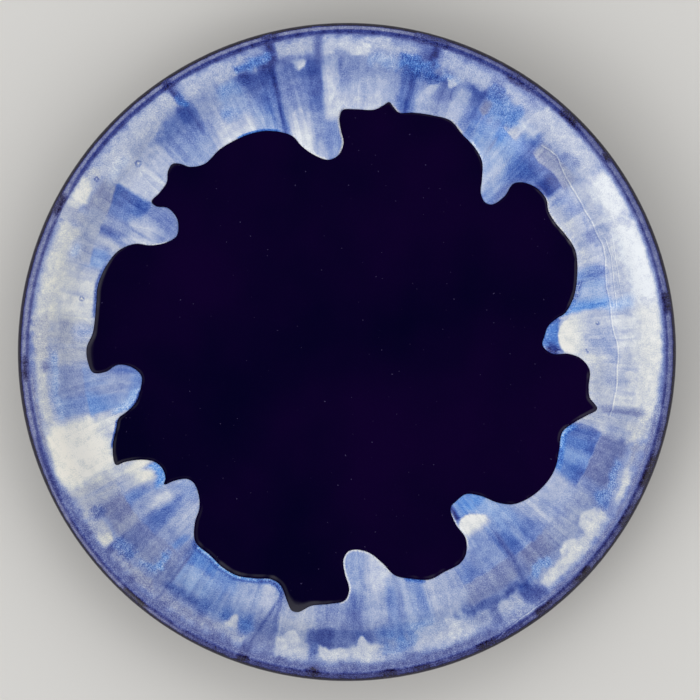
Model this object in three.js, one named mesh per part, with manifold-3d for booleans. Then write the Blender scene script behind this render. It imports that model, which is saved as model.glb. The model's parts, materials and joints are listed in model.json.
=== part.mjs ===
import * as THREE from 'three';
import { mergeVertices } from 'three/addons/utils/BufferGeometryUtils.js';
import Module from 'manifold-3d';

// A drip-glazed stoneware salad plate: a clay body with a foot ring, a dark coat over the front and the
// outside, a patch of the same coat inside the foot ring, and a thick overlay that ran down the rim in drips.
// Millimetres and degrees, +Z up, with the origin at the centre of the circle that the foot ring stands on.

// Overall size, over the coats
const PLATE_DIAMETER = 216;
const PLATE_HEIGHT = 24;

// Section of the clay
const FLOOR_THICKNESS = 4.8;
const LIP_THICKNESS = 3.8;
const RIM_WIDTH = 27;           // from the lip in to the edge of the flat well
const RIM_SLOPE = 22;           // how steeply the flare still rises where it meets the lip
const BEND_ARM = 13;            // how long the wall holds on to the level of the well
const FLARE_ARM = 12.5;         // how long the flare holds on to the slope at the lip

// Foot ring
const FOOT_INSET = 43;          // from the lip in to the outside of the ring
const FOOT_WIDTH = 5;
const FOOT_HEIGHT = 3.4;
const FOOT_EDGE = 0.8;          // radius of the two edges that the ring stands on
const FOOT_FILLET = 1.4;        // radius where the ring meets the underside
const FOOT_RECESS = 0.5;        // how much thinner the floor is trimmed inside the ring

// Glaze
const COAT_THICKNESS = 0.5;
const SEAT_GAP = 0.1;           // clearance under each coat
const COAT_STOP = 2.6;          // bare clay between a coat and the foot ring
const CLEAR_MARGIN = 0.8;       // from the tip of the longest drip in to the clear middle of the well
const DRIP_THICKNESS = 0.8;     // of the overlay on the well
const DRIP_ROUND = 1;           // how far in from its edge the overlay reaches that thickness
const DRIP_START = 40;          // where on the round of the lip the overlay begins: 0 is outermost, 90 on top
const DRIP_FEATHER = 0.25;      // thickness of the overlay over the lip

// Facets
const TURN_STEPS = 56;
const WALL_STEPS = 8;
const LIP_STEPS = 2;
const ROUND_STEPS = 2;
const EDGE_STEPS = 2;           // for each point of the drip edge

// Edge of the overlay: degrees round the plate from +X towards +Y, and millimetres in from the lip.
// Each row is one drip or one shallow bay, with as many points as its curve needs.
const DRIP_EDGE = [
  [2.8, 43.5], [7, 42], [9.3, 38.6], [10.4, 34.8], [14, 31],
  [19, 27.8], [24, 26], [28, 26.8], [32, 27.7], [35, 26.8], [37.5, 25.2], [41, 26], [44, 28],
  [45.3, 30.2], [44.6, 35.3], [45.7, 40.1], [47.5, 41.4], [50, 40.2], [52, 36.7], [54.6, 31.6],
  [58, 28.8], [62, 26.7], [66, 24.9], [70, 25.7], [74.5, 26.7], [77.8, 27.6],
  [79.4, 26], [80.4, 24.9], [81.6, 26], [83.6, 27.8], [88, 28.5], [91, 28.6],
  [91.9, 31], [91.6, 35.2], [91.1, 39.2], [92.3, 43], [95.4, 44.5], [99, 42.7], [102.4, 39.5], [104.2, 35.6],
  [107, 32.6], [111, 30.3], [116, 29.2], [122, 29.5], [127, 30.4], [130.2, 28.6],
  [131.8, 25.4], [132.9, 23.5], [134.8, 24.3], [136.6, 26.3], [139.5, 26.9], [142.4, 26.7],
  [142.6, 29], [141.3, 32.4], [142, 36.7], [144.4, 39.5], [146, 40.2], [149.2, 38], [151.6, 34.6], [153, 29.8],
  [156, 26], [160, 24], [165, 22.6], [169, 23.3], [173, 24.1], [176, 23.7], [179, 22.2], [182.2, 22.4],
  [184.6, 24.2], [184.6, 28.2], [182.9, 32.5], [183.8, 37], [186.6, 39.8], [190, 39], [193.6, 35.9], [195.4, 30.9],
  [198.2, 27.2], [202, 24.5], [206, 23.1],
  [206, 26.4], [207.3, 31.7], [209.4, 35], [212.2, 36], [214.8, 34.9], [215.8, 33.7],
  [216.5, 37.3], [218.3, 41], [220.4, 41.8], [223.6, 40.4], [226.6, 37.2], [228.4, 32.8], [231.4, 28.5],
  [236, 27.1], [240, 26.3], [244, 26.7], [248, 28.7], [251.6, 29.8], [254.2, 28.4],
  [256.6, 24.6], [257.9, 21.5], [259.4, 21.6], [262, 24.1], [266, 25.3], [269.2, 26.8],
  [270.2, 30], [269.3, 35.3], [268.8, 40], [270.4, 43], [273, 43.5], [276.5, 42], [279.6, 38], [282.2, 33.2],
  [286, 30.5], [290, 28.9], [294, 29.5], [298, 29.5], [300.4, 31.3],
  [302.6, 35.3], [302.3, 41], [303.5, 46.6], [306.4, 48.5], [310, 47.5], [313, 44.1], [315.2, 38.6], [317.6, 34.3],
  [322, 31.4], [327, 29.9], [331, 29.8], [335.4, 31.6], [339.6, 32.7], [342.8, 30.6],
  [345.2, 27.2], [347.2, 24], [349.4, 26.8], [352, 27.9], [355.8, 28.3],
  [358.4, 31.2], [359.6, 35.2], [359.7, 40.4],
];

const COAT_BUILD = SEAT_GAP + COAT_THICKNESS;
const CLAY_RADIUS = PLATE_DIAMETER / 2 - COAT_BUILD;
const CLAY_TOP = PLATE_HEIGHT - COAT_BUILD - SEAT_GAP - DRIP_FEATHER;
const LIP_RADIUS = LIP_THICKNESS / 2;
const WELL_RADIUS = PLATE_DIAMETER / 2 - RIM_WIDTH;
const WELL_TOP = FOOT_HEIGHT + FLOOR_THICKNESS;
const LONGEST_DRIP = Math.max(...DRIP_EDGE.map(([, reach]) => reach));
const CLEAR_RADIUS = PLATE_DIAMETER / 2 - LONGEST_DRIP - CLEAR_MARGIN;
const FOOT_RADIUS = PLATE_DIAMETER / 2 - FOOT_INSET;
const FOOT_INNER_RADIUS = FOOT_RADIUS - FOOT_WIDTH;
const RECESS_TOP = FOOT_HEIGHT + FOOT_RECESS;

const point = (radius, height) => new THREE.Vector2(radius, height);

function direction(degrees) {
  const angle = THREE.MathUtils.degToRad(degrees);
  return point(Math.cos(angle), Math.sin(angle));
}

// The lip is half a circle of clay. The front of the wall is one S curve from the well up to it.
const lipCentre = point(CLAY_RADIUS - LIP_RADIUS, CLAY_TOP - LIP_RADIUS);
const lipStart = direction(90 + RIM_SLOPE).multiplyScalar(LIP_RADIUS).add(lipCentre);
const wallCurve = new THREE.CubicBezierCurve(
  point(WELL_RADIUS, WELL_TOP),
  point(WELL_RADIUS + BEND_ARM, WELL_TOP),
  lipStart.clone().addScaledVector(direction(RIM_SLOPE), -FLARE_ARM),
  lipStart,
);

function wallNormal(share) {
  const along = wallCurve.getTangent(share);
  return point(-along.y, along.x);
}

// Points on the front of the wall, from the well to the lip, as far outside the clay as the builds say
function wallFront(wellBuild, lipBuild) {
  const points = [];
  for (let step = 0; step <= WALL_STEPS; step += 1) {
    const share = step / WALL_STEPS;
    const build = THREE.MathUtils.lerp(wellBuild, lipBuild, share);
    points.push(wallCurve.getPoint(share).addScaledVector(wallNormal(share), build));
  }
  return points;
}

// Points on the back of the wall, from the lip to the underside, one clay thickness behind the front
function wallBack(build) {
  const points = [];
  for (let step = WALL_STEPS - 1; step >= 0; step -= 1) {
    const share = step / WALL_STEPS;
    const thickness = THREE.MathUtils.lerp(FLOOR_THICKNESS, LIP_THICKNESS, share);
    points.push(wallCurve.getPoint(share).addScaledVector(wallNormal(share), -thickness - build));
  }
  return points;
}

function lipPoint(degrees, build) {
  return direction(degrees).multiplyScalar(LIP_RADIUS + build).add(lipCentre);
}

// Points on the inner part of the round of the lip, from its highest place to where the overlay begins
function lipCrown(build) {
  const points = [];
  for (let step = 0; step <= LIP_STEPS; step += 1) {
    points.push(lipPoint(THREE.MathUtils.lerp(90, DRIP_START, step / LIP_STEPS), build));
  }
  return points;
}

// Points on the rest of it, through its outermost place to the back of the wall
function lipOutside(build) {
  const backEnd = RIM_SLOPE - 90;
  return [DRIP_START / 2, 0, backEnd / 2, backEnd].map((degrees) => lipPoint(degrees, build));
}

function arc(radius, height, size, fromDegrees, toDegrees) {
  const points = [];
  for (let step = 0; step <= ROUND_STEPS; step += 1) {
    const degrees = THREE.MathUtils.lerp(fromDegrees, toDegrees, step / ROUND_STEPS);
    points.push(direction(degrees).multiplyScalar(size).add(point(radius, height)));
  }
  return points;
}

// Points round the foot ring, from its outside to its inside
function footRing() {
  return [
    ...arc(FOOT_RADIUS + FOOT_FILLET, FOOT_HEIGHT - FOOT_FILLET, FOOT_FILLET, 90, 180),
    ...arc(FOOT_RADIUS - FOOT_EDGE, FOOT_EDGE, FOOT_EDGE, 0, -90),
    ...arc(FOOT_INNER_RADIUS + FOOT_EDGE, FOOT_EDGE, FOOT_EDGE, -90, -180),
    ...arc(FOOT_INNER_RADIUS - FOOT_FILLET, RECESS_TOP - FOOT_FILLET, FOOT_FILLET, 0, 90),
  ];
}

// The outside of the plate from the middle of the well to where the coat stops on the underside
function coatedOutline(build) {
  return [
    point(0, WELL_TOP + build),
    point(CLEAR_RADIUS, WELL_TOP + build),
    ...wallFront(build, build),
    ...lipCrown(build),
    ...lipOutside(build),
    ...wallBack(build),
    point(FOOT_RADIUS + COAT_STOP, FOOT_HEIGHT - build),
  ];
}

// A profile that runs down the right-hand side turns into a solid whose faces point out
function revolve(profile) {
  return new THREE.LatheGeometry([...profile].reverse(), TURN_STEPS).rotateX(Math.PI / 2);
}

function clayBody() {
  const profile = [...coatedOutline(0), ...footRing(), point(0, RECESS_TOP)];
  return revolve(profile);
}

function baseCoat() {
  return revolve([...coatedOutline(COAT_BUILD), ...coatedOutline(SEAT_GAP).reverse()]);
}

function footCoat() {
  const radius = FOOT_INNER_RADIUS - COAT_STOP;
  return revolve([
    point(0, RECESS_TOP - SEAT_GAP),
    point(radius, RECESS_TOP - SEAT_GAP),
    point(radius, RECESS_TOP - COAT_BUILD),
    point(0, RECESS_TOP - COAT_BUILD),
  ]);
}

// The front of the rim under the overlay, from the clear middle of the well out to the round of the lip
function overlaidOutline(wellBuild, lipBuild) {
  return [
    point(CLEAR_RADIUS, WELL_TOP + wellBuild),
    ...wallFront(wellBuild, lipBuild),
    ...lipCrown(lipBuild),
  ];
}

function overlayShell() {
  const under = COAT_BUILD + SEAT_GAP;
  const upper = overlaidOutline(under + DRIP_THICKNESS, under + DRIP_FEATHER);
  const lower = overlaidOutline(under, under);
  return revolve([...upper, ...lower.reverse(), upper[0]]);
}

// A closed solid through rings of points that run anticlockwise, from the lowest ring to the highest
function loft(rings) {
  const count = rings[0].length;
  const index = [];
  for (let ring = 0; ring < rings.length - 1; ring += 1) {
    for (let step = 0; step < count; step += 1) {
      const here = ring * count + step;
      const next = ring * count + (step + 1) % count;
      index.push(here, next, next + count, here, next + count, here + count);
    }
  }
  const top = (rings.length - 1) * count;
  const floor = THREE.ShapeUtils.triangulateShape(rings[0], []);
  const roof = THREE.ShapeUtils.triangulateShape(rings[rings.length - 1], []);
  floor.forEach(([a, b, c]) => index.push(a, c, b));
  roof.forEach(([a, b, c]) => index.push(top + a, top + b, top + c));
  const geometry = new THREE.BufferGeometry().setFromPoints(rings.flat());
  return geometry.setIndex(index);
}

// The clear well inside the drips. It widens over the overlay, which rounds the overlay's edge.
function clearWell() {
  const edge = DRIP_EDGE.map(([degrees, reach]) => {
    const place = direction(degrees).multiplyScalar(PLATE_DIAMETER / 2 - reach);
    return new THREE.Vector3(place.x, place.y, 0);
  });
  const curve = new THREE.CatmullRomCurve3(edge, true, 'centripetal');
  const count = EDGE_STEPS * edge.length;
  const ring = (wider, height) => Array.from({ length: count }, (_, step) => {
    const along = curve.getTangent(step / count);
    const place = curve.getPoint(step / count);
    return place.add(new THREE.Vector3(along.y * wider, -along.x * wider, height));
  });
  const underside = WELL_TOP + COAT_BUILD + SEAT_GAP;
  const rings = [ring(0, 0)];
  for (let step = 0; step <= ROUND_STEPS; step += 1) {
    const round = direction(90 * step / ROUND_STEPS);
    rings.push(ring(DRIP_ROUND * (1 - round.x), underside + DRIP_THICKNESS * round.y));
  }
  rings.push(ring(DRIP_ROUND, 2 * PLATE_HEIGHT));
  return loft(rings);
}

// Booleans
const wasm = await Module();
wasm.setup();

function toSolid(geometry) {
  const bare = new THREE.BufferGeometry();
  bare.setAttribute('position', geometry.attributes.position);
  bare.setIndex(geometry.index);
  const merged = mergeVertices(bare);
  return new wasm.Manifold(new wasm.Mesh({
    numProp: 3,
    vertProperties: new Float32Array(merged.attributes.position.array),
    triVerts: new Uint32Array(merged.index.array),
  }));
}

function toGeometry(solid) {
  const mesh = solid.getMesh();
  const geometry = new THREE.BufferGeometry();
  geometry.setAttribute('position', new THREE.BufferAttribute(new Float32Array(mesh.vertProperties), 3));
  geometry.setIndex(new THREE.BufferAttribute(new Uint32Array(mesh.triVerts), 1));
  geometry.computeVertexNormals();
  return geometry;
}

function dripOverlay() {
  return toGeometry(toSolid(overlayShell()).subtract(toSolid(clearWell())));
}

// Materials
const bareClay = new THREE.MeshStandardMaterial({ color: 0xb59a78, roughness: 0.9, metalness: 0 });
const cobaltGlaze = new THREE.MeshStandardMaterial({ color: 0x0a0322, roughness: 0.08, metalness: 0 });
const milkGlaze = new THREE.MeshStandardMaterial({ color: 0xb4b9d8, roughness: 0.15, metalness: 0 });

// Assembly
const plate = new THREE.Group();
plate.name = 'salad_plate';

function addPiece(name, geometry, material) {
  const mesh = new THREE.Mesh(geometry, material);
  mesh.name = name;
  plate.add(mesh);
}

addPiece('stoneware_body', clayBody(), bareClay);
addPiece('base_glaze', baseCoat(), cobaltGlaze);
addPiece('foot_glaze', footCoat(), cobaltGlaze);
addPiece('drip_glaze', dripOverlay(), milkGlaze);

export default plate;
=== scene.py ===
import json
import math
from dataclasses import dataclass
from functools import partial

import bpy
import numpy as np
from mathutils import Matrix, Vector, geometry, kdtree


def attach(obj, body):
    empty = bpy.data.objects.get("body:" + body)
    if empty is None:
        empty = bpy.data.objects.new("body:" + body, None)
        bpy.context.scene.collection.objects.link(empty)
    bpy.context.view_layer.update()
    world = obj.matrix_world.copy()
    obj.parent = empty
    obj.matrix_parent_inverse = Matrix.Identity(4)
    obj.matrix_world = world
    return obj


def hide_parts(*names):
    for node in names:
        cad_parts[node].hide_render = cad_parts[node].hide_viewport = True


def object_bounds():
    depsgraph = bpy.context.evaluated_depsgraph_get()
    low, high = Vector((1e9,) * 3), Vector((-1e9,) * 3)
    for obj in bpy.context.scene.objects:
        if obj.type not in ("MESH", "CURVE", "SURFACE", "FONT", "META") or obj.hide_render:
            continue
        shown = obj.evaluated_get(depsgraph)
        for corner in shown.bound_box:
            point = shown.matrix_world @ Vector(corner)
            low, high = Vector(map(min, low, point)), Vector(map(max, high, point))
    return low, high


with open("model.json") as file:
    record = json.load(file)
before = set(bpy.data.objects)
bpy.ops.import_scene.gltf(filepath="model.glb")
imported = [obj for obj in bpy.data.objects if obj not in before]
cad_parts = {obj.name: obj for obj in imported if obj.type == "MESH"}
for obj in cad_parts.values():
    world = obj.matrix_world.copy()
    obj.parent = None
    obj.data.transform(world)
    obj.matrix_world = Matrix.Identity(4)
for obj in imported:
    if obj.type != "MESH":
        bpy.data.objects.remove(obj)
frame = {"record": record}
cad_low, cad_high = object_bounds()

# A drip-glazed stoneware salad plate. Shapes are worked out in millimetres and degrees, in the frame of the
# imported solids, and turned into metres where a mesh is made.
MM = 0.001
MOUNTS = {mount["name"]: mount for mount in frame["record"]["mounts"]}

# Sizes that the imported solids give
PLATE_RADIUS = cad_high.x / MM
PLATE_TOP = cad_high.z / MM
WELL_HEIGHT = MOUNTS["well_floor"]["pos_m"][2] / MM

# Section of the clay and its coats, as in the solids
FLOOR_THICKNESS = 4.8
LIP_THICKNESS = 3.8
RIM_WIDTH = 27
RIM_SLOPE = 22
BEND_ARM = 13
FLARE_ARM = 12.5
FOOT_INSET = 43
FOOT_WIDTH = 5
FOOT_HEIGHT = 3.4
FOOT_EDGE = 0.8
FOOT_FILLET = 1.4
FOOT_RECESS = 0.5
COAT_THICKNESS = 0.5
SEAT_GAP = 0.1
COAT_STOP = 2.6
DRIP_THICKNESS = 0.8
DRIP_START = 40
DRIP_FEATHER = 0.25

COAT_BUILD = SEAT_GAP + COAT_THICKNESS
LIP_RADIUS = LIP_THICKNESS / 2
WELL_RADIUS = PLATE_RADIUS - RIM_WIDTH
WELL_CLAY = WELL_HEIGHT - COAT_BUILD
LIP_CENTRE = np.array([
    PLATE_RADIUS - COAT_BUILD - LIP_RADIUS,
    PLATE_TOP - COAT_BUILD - SEAT_GAP - DRIP_FEATHER - LIP_RADIUS,
])
FOOT_RADIUS = PLATE_RADIUS - FOOT_INSET
FOOT_INNER_RADIUS = FOOT_RADIUS - FOOT_WIDTH
RECESS_HEIGHT = FOOT_HEIGHT + FOOT_RECESS

# Fineness of the meshes
COLUMNS = 420
WALL_ROWS = 40
LIP_ROWS = 16
ROUND_ROWS = 8
GLAZE_SPACING = 0.49
LIP_COLUMNS = 900
LIP_BAND = 4.2
LIP_SPACING = 0.24
UNDER_SPACING = 2.6
EDGE_SPACING = 0.45

# Edge of the overlay, a millimetre or less from the solids': degrees round the plate and millimetres in
# from the lip, anticlockwise
DRIP_EDGE = [
    [2, 43.6], [5, 42.6], [7.2, 41.4], [9.1, 38.2], [10.2, 35], [14, 31],
    [19, 27.9], [24, 25.8], [28, 26.4], [32, 27.4], [35, 27.1], [37.5, 25.4], [41, 25.6], [44, 27.7],
    [45.3, 30.2], [44.6, 35.3], [45.5, 40], [47.5, 41], [50, 39.5], [51.9, 36.1], [54.6, 31.3],
    [58, 28.7], [62, 27], [66, 24.6], [70, 25.2], [74.5, 26.3], [77.8, 27.4],
    [79.4, 25.8], [80.4, 24.6], [81.6, 26], [83.6, 27.8], [88, 28.1], [91, 28.4],
    [91.8, 31], [91.5, 35.2], [90.9, 39.2], [92.3, 43],
    [95.4, 44.5], [99, 42.7], [102.3, 38.9], [104.1, 34.9],
    [107, 32.3], [111, 30.2], [116, 29.3], [122, 29.3], [127, 30.4], [130.2, 28.3],
    [131.7, 25], [132.9, 23.6], [134.8, 24.4], [136.6, 26.5], [139.5, 27.1], [142.4, 26.9],
    [142.6, 29], [141.2, 32.4], [141.9, 37], [144.4, 39.7],
    [146, 40.2], [149.2, 38.1], [151.6, 34.3], [153, 29.7],
    [156, 25.9], [160, 24], [165, 23.2], [169, 24], [173, 24.4], [176, 24.1], [179, 22.4], [182.2, 22.7],
    [184.6, 24.2], [184.7, 28.2], [183.2, 32.5], [184, 37], [186.6, 39.9], [190, 39.1], [193.6, 36.4],
    [195.3, 32.6], [196.2, 29.8], [198.2, 28.2], [202, 24.9], [206, 23.4],
    [206.3, 26.4], [207.6, 31.6], [209.6, 35], [212.2, 36.2], [214.8, 35.3], [215.9, 33.8],
    [216.7, 37.2], [218.4, 40.8], [220.4, 41.7], [223.6, 40.5], [226.6, 37.4], [228.4, 32.7], [231.4, 28.1],
    [236, 27.4], [240, 26.2], [244, 26.1], [248, 27.7], [251.6, 29.2], [254.1, 28.2],
    [256.5, 23.8], [257.9, 21.1], [259.4, 21], [262, 23.7], [266, 24.9], [269.5, 26.3],
    [270.5, 29.8], [269.4, 35.3], [269, 39.6], [270.4, 42.4],
    [273, 42.9], [276.5, 41.4], [279.6, 37.5], [282.2, 32.8],
    [286, 30.4], [290, 28.4], [294, 28.9], [298, 29.1], [300.4, 30.8],
    [302.45, 35.2], [302.25, 41], [303.6, 46.4], [306.4, 47.2], [310, 47], [312.9, 43.4], [315, 38],
    [317.6, 33.8], [322, 30.9], [327, 29.5], [331, 29.6], [335.4, 31.2], [339.6, 32.4], [342.8, 29.7],
    [345.2, 26.4], [347.2, 23.6], [349.4, 26.8], [352, 27.7], [355.8, 28],
    [358.4, 31.1], [359.5, 35.2], [359.5, 40.6],
]

# Colours of the overlay, from 0 to 255, by milkiness: at hue -2, ashen; at -1, warm; at 0, plain; and at 1,
# bright blue
MILK_RAMP = [
    (0.0, (18, 8, 24), (12, 4, 34), (10, 3, 36), (8, 6, 48)),
    (0.12, (38, 33, 60), (30, 32, 88), (24, 35, 108), (6, 44, 130)),
    (0.25, (60, 58, 92), (50, 57, 122), (44, 60, 136), (18, 69, 160)),
    (0.36, (84, 85, 117), (76, 84, 142), (64, 83, 155), (32, 89, 180)),
    (0.45, (104, 105, 132), (96, 104, 155), (84, 104, 170), (50, 110, 198)),
    (0.55, (126, 127, 150), (118, 126, 170), (105, 125, 184), (70, 130, 213)),
    (0.64, (147, 149, 167), (140, 149, 183), (128, 146, 195), (93, 151, 223)),
    (0.74, (171, 173, 183), (166, 173, 194), (154, 169, 205), (121, 171, 232)),
    (0.83, (195, 195, 195), (190, 195, 204), (180, 189, 215), (152, 190, 238)),
    (0.92, (219, 217, 204), (216, 217, 210), (206, 212, 224), (184, 209, 244)),
    (1.0, (238, 232, 216), (236, 232, 222), (228, 233, 239), (218, 233, 248)),
]

# Deeper in than the longest drip
TO_EDGE = 60


@dataclass(frozen=True)
class Run:
    """A cloud, streak or pool of one tone, between two angles and two distances in from the lip.

    It is that milky, from 0 where the dark coat shows to 1, and has that hue on the ramp above. It fades
    over side degrees, over rise millimetres at its top and over end millimetres at its bottom. Without a
    bottom it runs on to the edge. It leans that many degrees on the way in, hangs down in its middle by its
    bulge, and is rough where the glaze boiled.
    """

    milk: float
    hue: float
    first: float
    last: float
    top: float
    bottom: float = TO_EDGE
    side: float = 1.15
    rise: float = 1.9
    end: float = 1.9
    lean: float = 0.0
    bulge: float = 0.0
    rough: float = 1.0


@dataclass(frozen=True)
class Veil:
    """A patch of one tone, from that many millimetres in from the lip down to its edge: thin glaze, which on
    the wall also carries painted reflection.

    The edge is a line of degrees round the plate and millimetres in from the lip.
    """

    milk: float
    hue: float
    top: float
    edge: list
    side: float = 0.7
    rise: float = 1.2
    crisp: float = 0.35


# How milky the overlay is from the lip inwards, before anything runs: millimetres in, and milkiness
BANDS = [
    (1.0, 0.0), (1.3, 0.36), (1.95, 0.42), (2.3, 0.26), (3.2, 0.34), (4.4, 0.56), (8, 0.7), (11, 0.68),
    (15, 0.64), (19, 0.64), (21, 0.68), (60, 0.68),
]

# Tones under the middle one are drawn deeper and tones over it paler, away from the lip
MIDDLE_MILK = 0.66
DARK_CONTRAST = 0.23
PALE_CONTRAST = 0.12
FLARE_ASH = 0.15

# Thin glaze on the steep wall, where the overlay slid away. The greyer, mauve tone of these runs and their
# crisp ends about 19 to 21 mm in are partly painted reflection: the steep wall mirrors the bright
# surroundings and the flatter glaze below it the dark ceiling
WALL_RUNS_AND_SHEEN = [
    Run(0.80, -0.2, 8, 26, 12.5, 19.6, end=0.9),
    Run(0.79, -0.2, 24, 40, 14, 18.8, end=0.7),
    Run(0.64, 0.0, 23.6, 26.2, 12.8, 15.6, side=1, rise=1, end=1.2),
    Run(0.46, 0.2, 46.6, 49.6, 12, 19),
    Run(0.70, 0.2, 49, 54, 9, 30, side=1.8),
    Run(0.68, 0.5, 54, 60.6, 10, 18),
    Run(0.34, 0.1, 60.6, 65.4, 10.8, 15.6, rise=0.7, end=4),
    Run(0.74, 0.0, 65, 67.2, 12.4, 25),
    Run(0.50, -0.2, 66.6, 72.6, 10, 21, end=3),
    Run(0.80, 0.0, 70.8, 73, 14, 27, side=0.5, rise=3, lean=1.6, rough=0.4),
    Run(0.66, -0.1, 79, 91, 12, 22, end=3),
    Run(0.57, -0.1, 99, 104.6, 10, 26, end=4),
    Run(0.42, 0.0, 101.4, 104.6, 9.6, 13, end=5),
    Run(0.40, 0.1, 105.4, 112, 10.4, 20, rise=1, end=7),
    Run(0.71, 0.15, 111.6, 117.6, 11, 24, end=3),
    Run(0.72, -0.1, 117.4, 121.4, 11.6, 25, side=0.7),
    Run(0.78, -0.1, 131.6, 137.4, 13, 26),
    Run(0.81, 0.0, 137, 144, 10, 26),
    Run(0.90, -0.5, 161, 174, 8, 24),
    Run(0.78, -1.0, 173, 182.6, 10, 24),
    Run(0.70, -1.0, 173.8, 178.4, 13.4, 18.6, side=0.5, rise=0.5, end=0.6, rough=0.5),
    Run(0.66, -0.3, 182.6, 189.6, 13, 20.9, end=0.4, rough=0.3),
    Run(0.64, 0.2, 189, 194.2, 11, 20.9, end=0.4, rough=0.3),
    Run(0.95, -0.8, 194.4, 206.6, 8, 24, side=2, rough=0.5),
    Run(0.86, -0.6, 194.6, 199.4, 14, 22, side=1, rise=4, end=1),
    Run(0.76, -1.0, 206, 212, 6, 22),
    Run(0.57, -0.9, 211.8, 219.6, 12, 20.6, rise=1, end=0.4, rough=0.3),
    Run(0.70, -0.9, 216.8, 219.6, 12.4, 20.6, side=0.7, rise=1, end=0.5, rough=0.3),
    Run(0.54, -0.4, 219.4, 224, 12.6, 21, rise=1, end=0.4, rough=0.3),
    Run(0.64, -0.6, 223.8, 230, 12, 22, end=0.6, rough=0.3),
    Run(0.57, -0.4, 229.4, 232.6, 9, 27, side=0.8),
    Run(0.72, 0.4, 232.4, 241, 13.6, 21.4, side=1, end=1.2),
    Run(0.62, 0.2, 240, 248, 8, 20, end=4),
    Run(0.56, -0.3, 251.4, 256.4, 6, 19, side=0.9, end=4),
    Run(0.74, -0.3, 256, 262.2, 10, 24, side=0.6),
    Run(0.50, -0.1, 266, 270.4, 11, 16.6, side=1.2, rise=0.8, end=0.5, rough=0.5),
    Run(0.38, -0.1, 262.2, 267.2, 10.6, 16.6, side=0.6, rise=0.8, end=0.5, rough=0.5),
    Run(0.53, -0.1, 269, 276.4, 12, 17, rise=1, end=0.7),
    Run(0.40, 0.1, 271.6, 274.2, 13.4, 16.6, side=0.8, rise=0.8, end=0.7, rough=0.5),
    Run(0.62, -0.3, 263, 278, 17, 23, rise=0.8),
    Run(0.56, 0.25, 276.4, 284, 13, 18),
    Run(0.72, 0.1, 283.6, 288.6, 14, 20),
    Run(0.74, 0.0, 288.4, 294.4, 8, 24),
    Run(0.46, 0.0, 292.4, 301, 12.8, 15.6, rise=1.2, end=1.4, rough=0.6),
    Run(0.46, -0.1, 299, 307.6, 11.8, 13.9, rise=0.9, end=0.9, rough=0.5),
    Run(0.60, -0.6, 295.8, 308.4, 15, 22.2, side=0.9, rise=0.7, end=0.4, rough=0.3),
    Run(0.55, -0.8, 310, 318.6, 13.4, 20.8, end=0.4, rough=0.3),
    Run(0.70, -0.4, 318, 330.6, 12, 21),
    Run(0.53, -0.7, 331, 342.6, 11, 20.3, rise=1, end=0.35, rough=0.3),
    Run(0.74, -0.6, 342.4, 348, 11, 22),
    Run(0.84, -0.4, 348, 362, 13.4, 19.4, end=1),
    Run(0.72, -0.4, 353.6, 356.4, 15.6, 18.4, side=0.8, rise=0.8, end=0.8),
    Run(0.90, -0.2, 361, 369, 11, 20, end=1),
]
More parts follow.
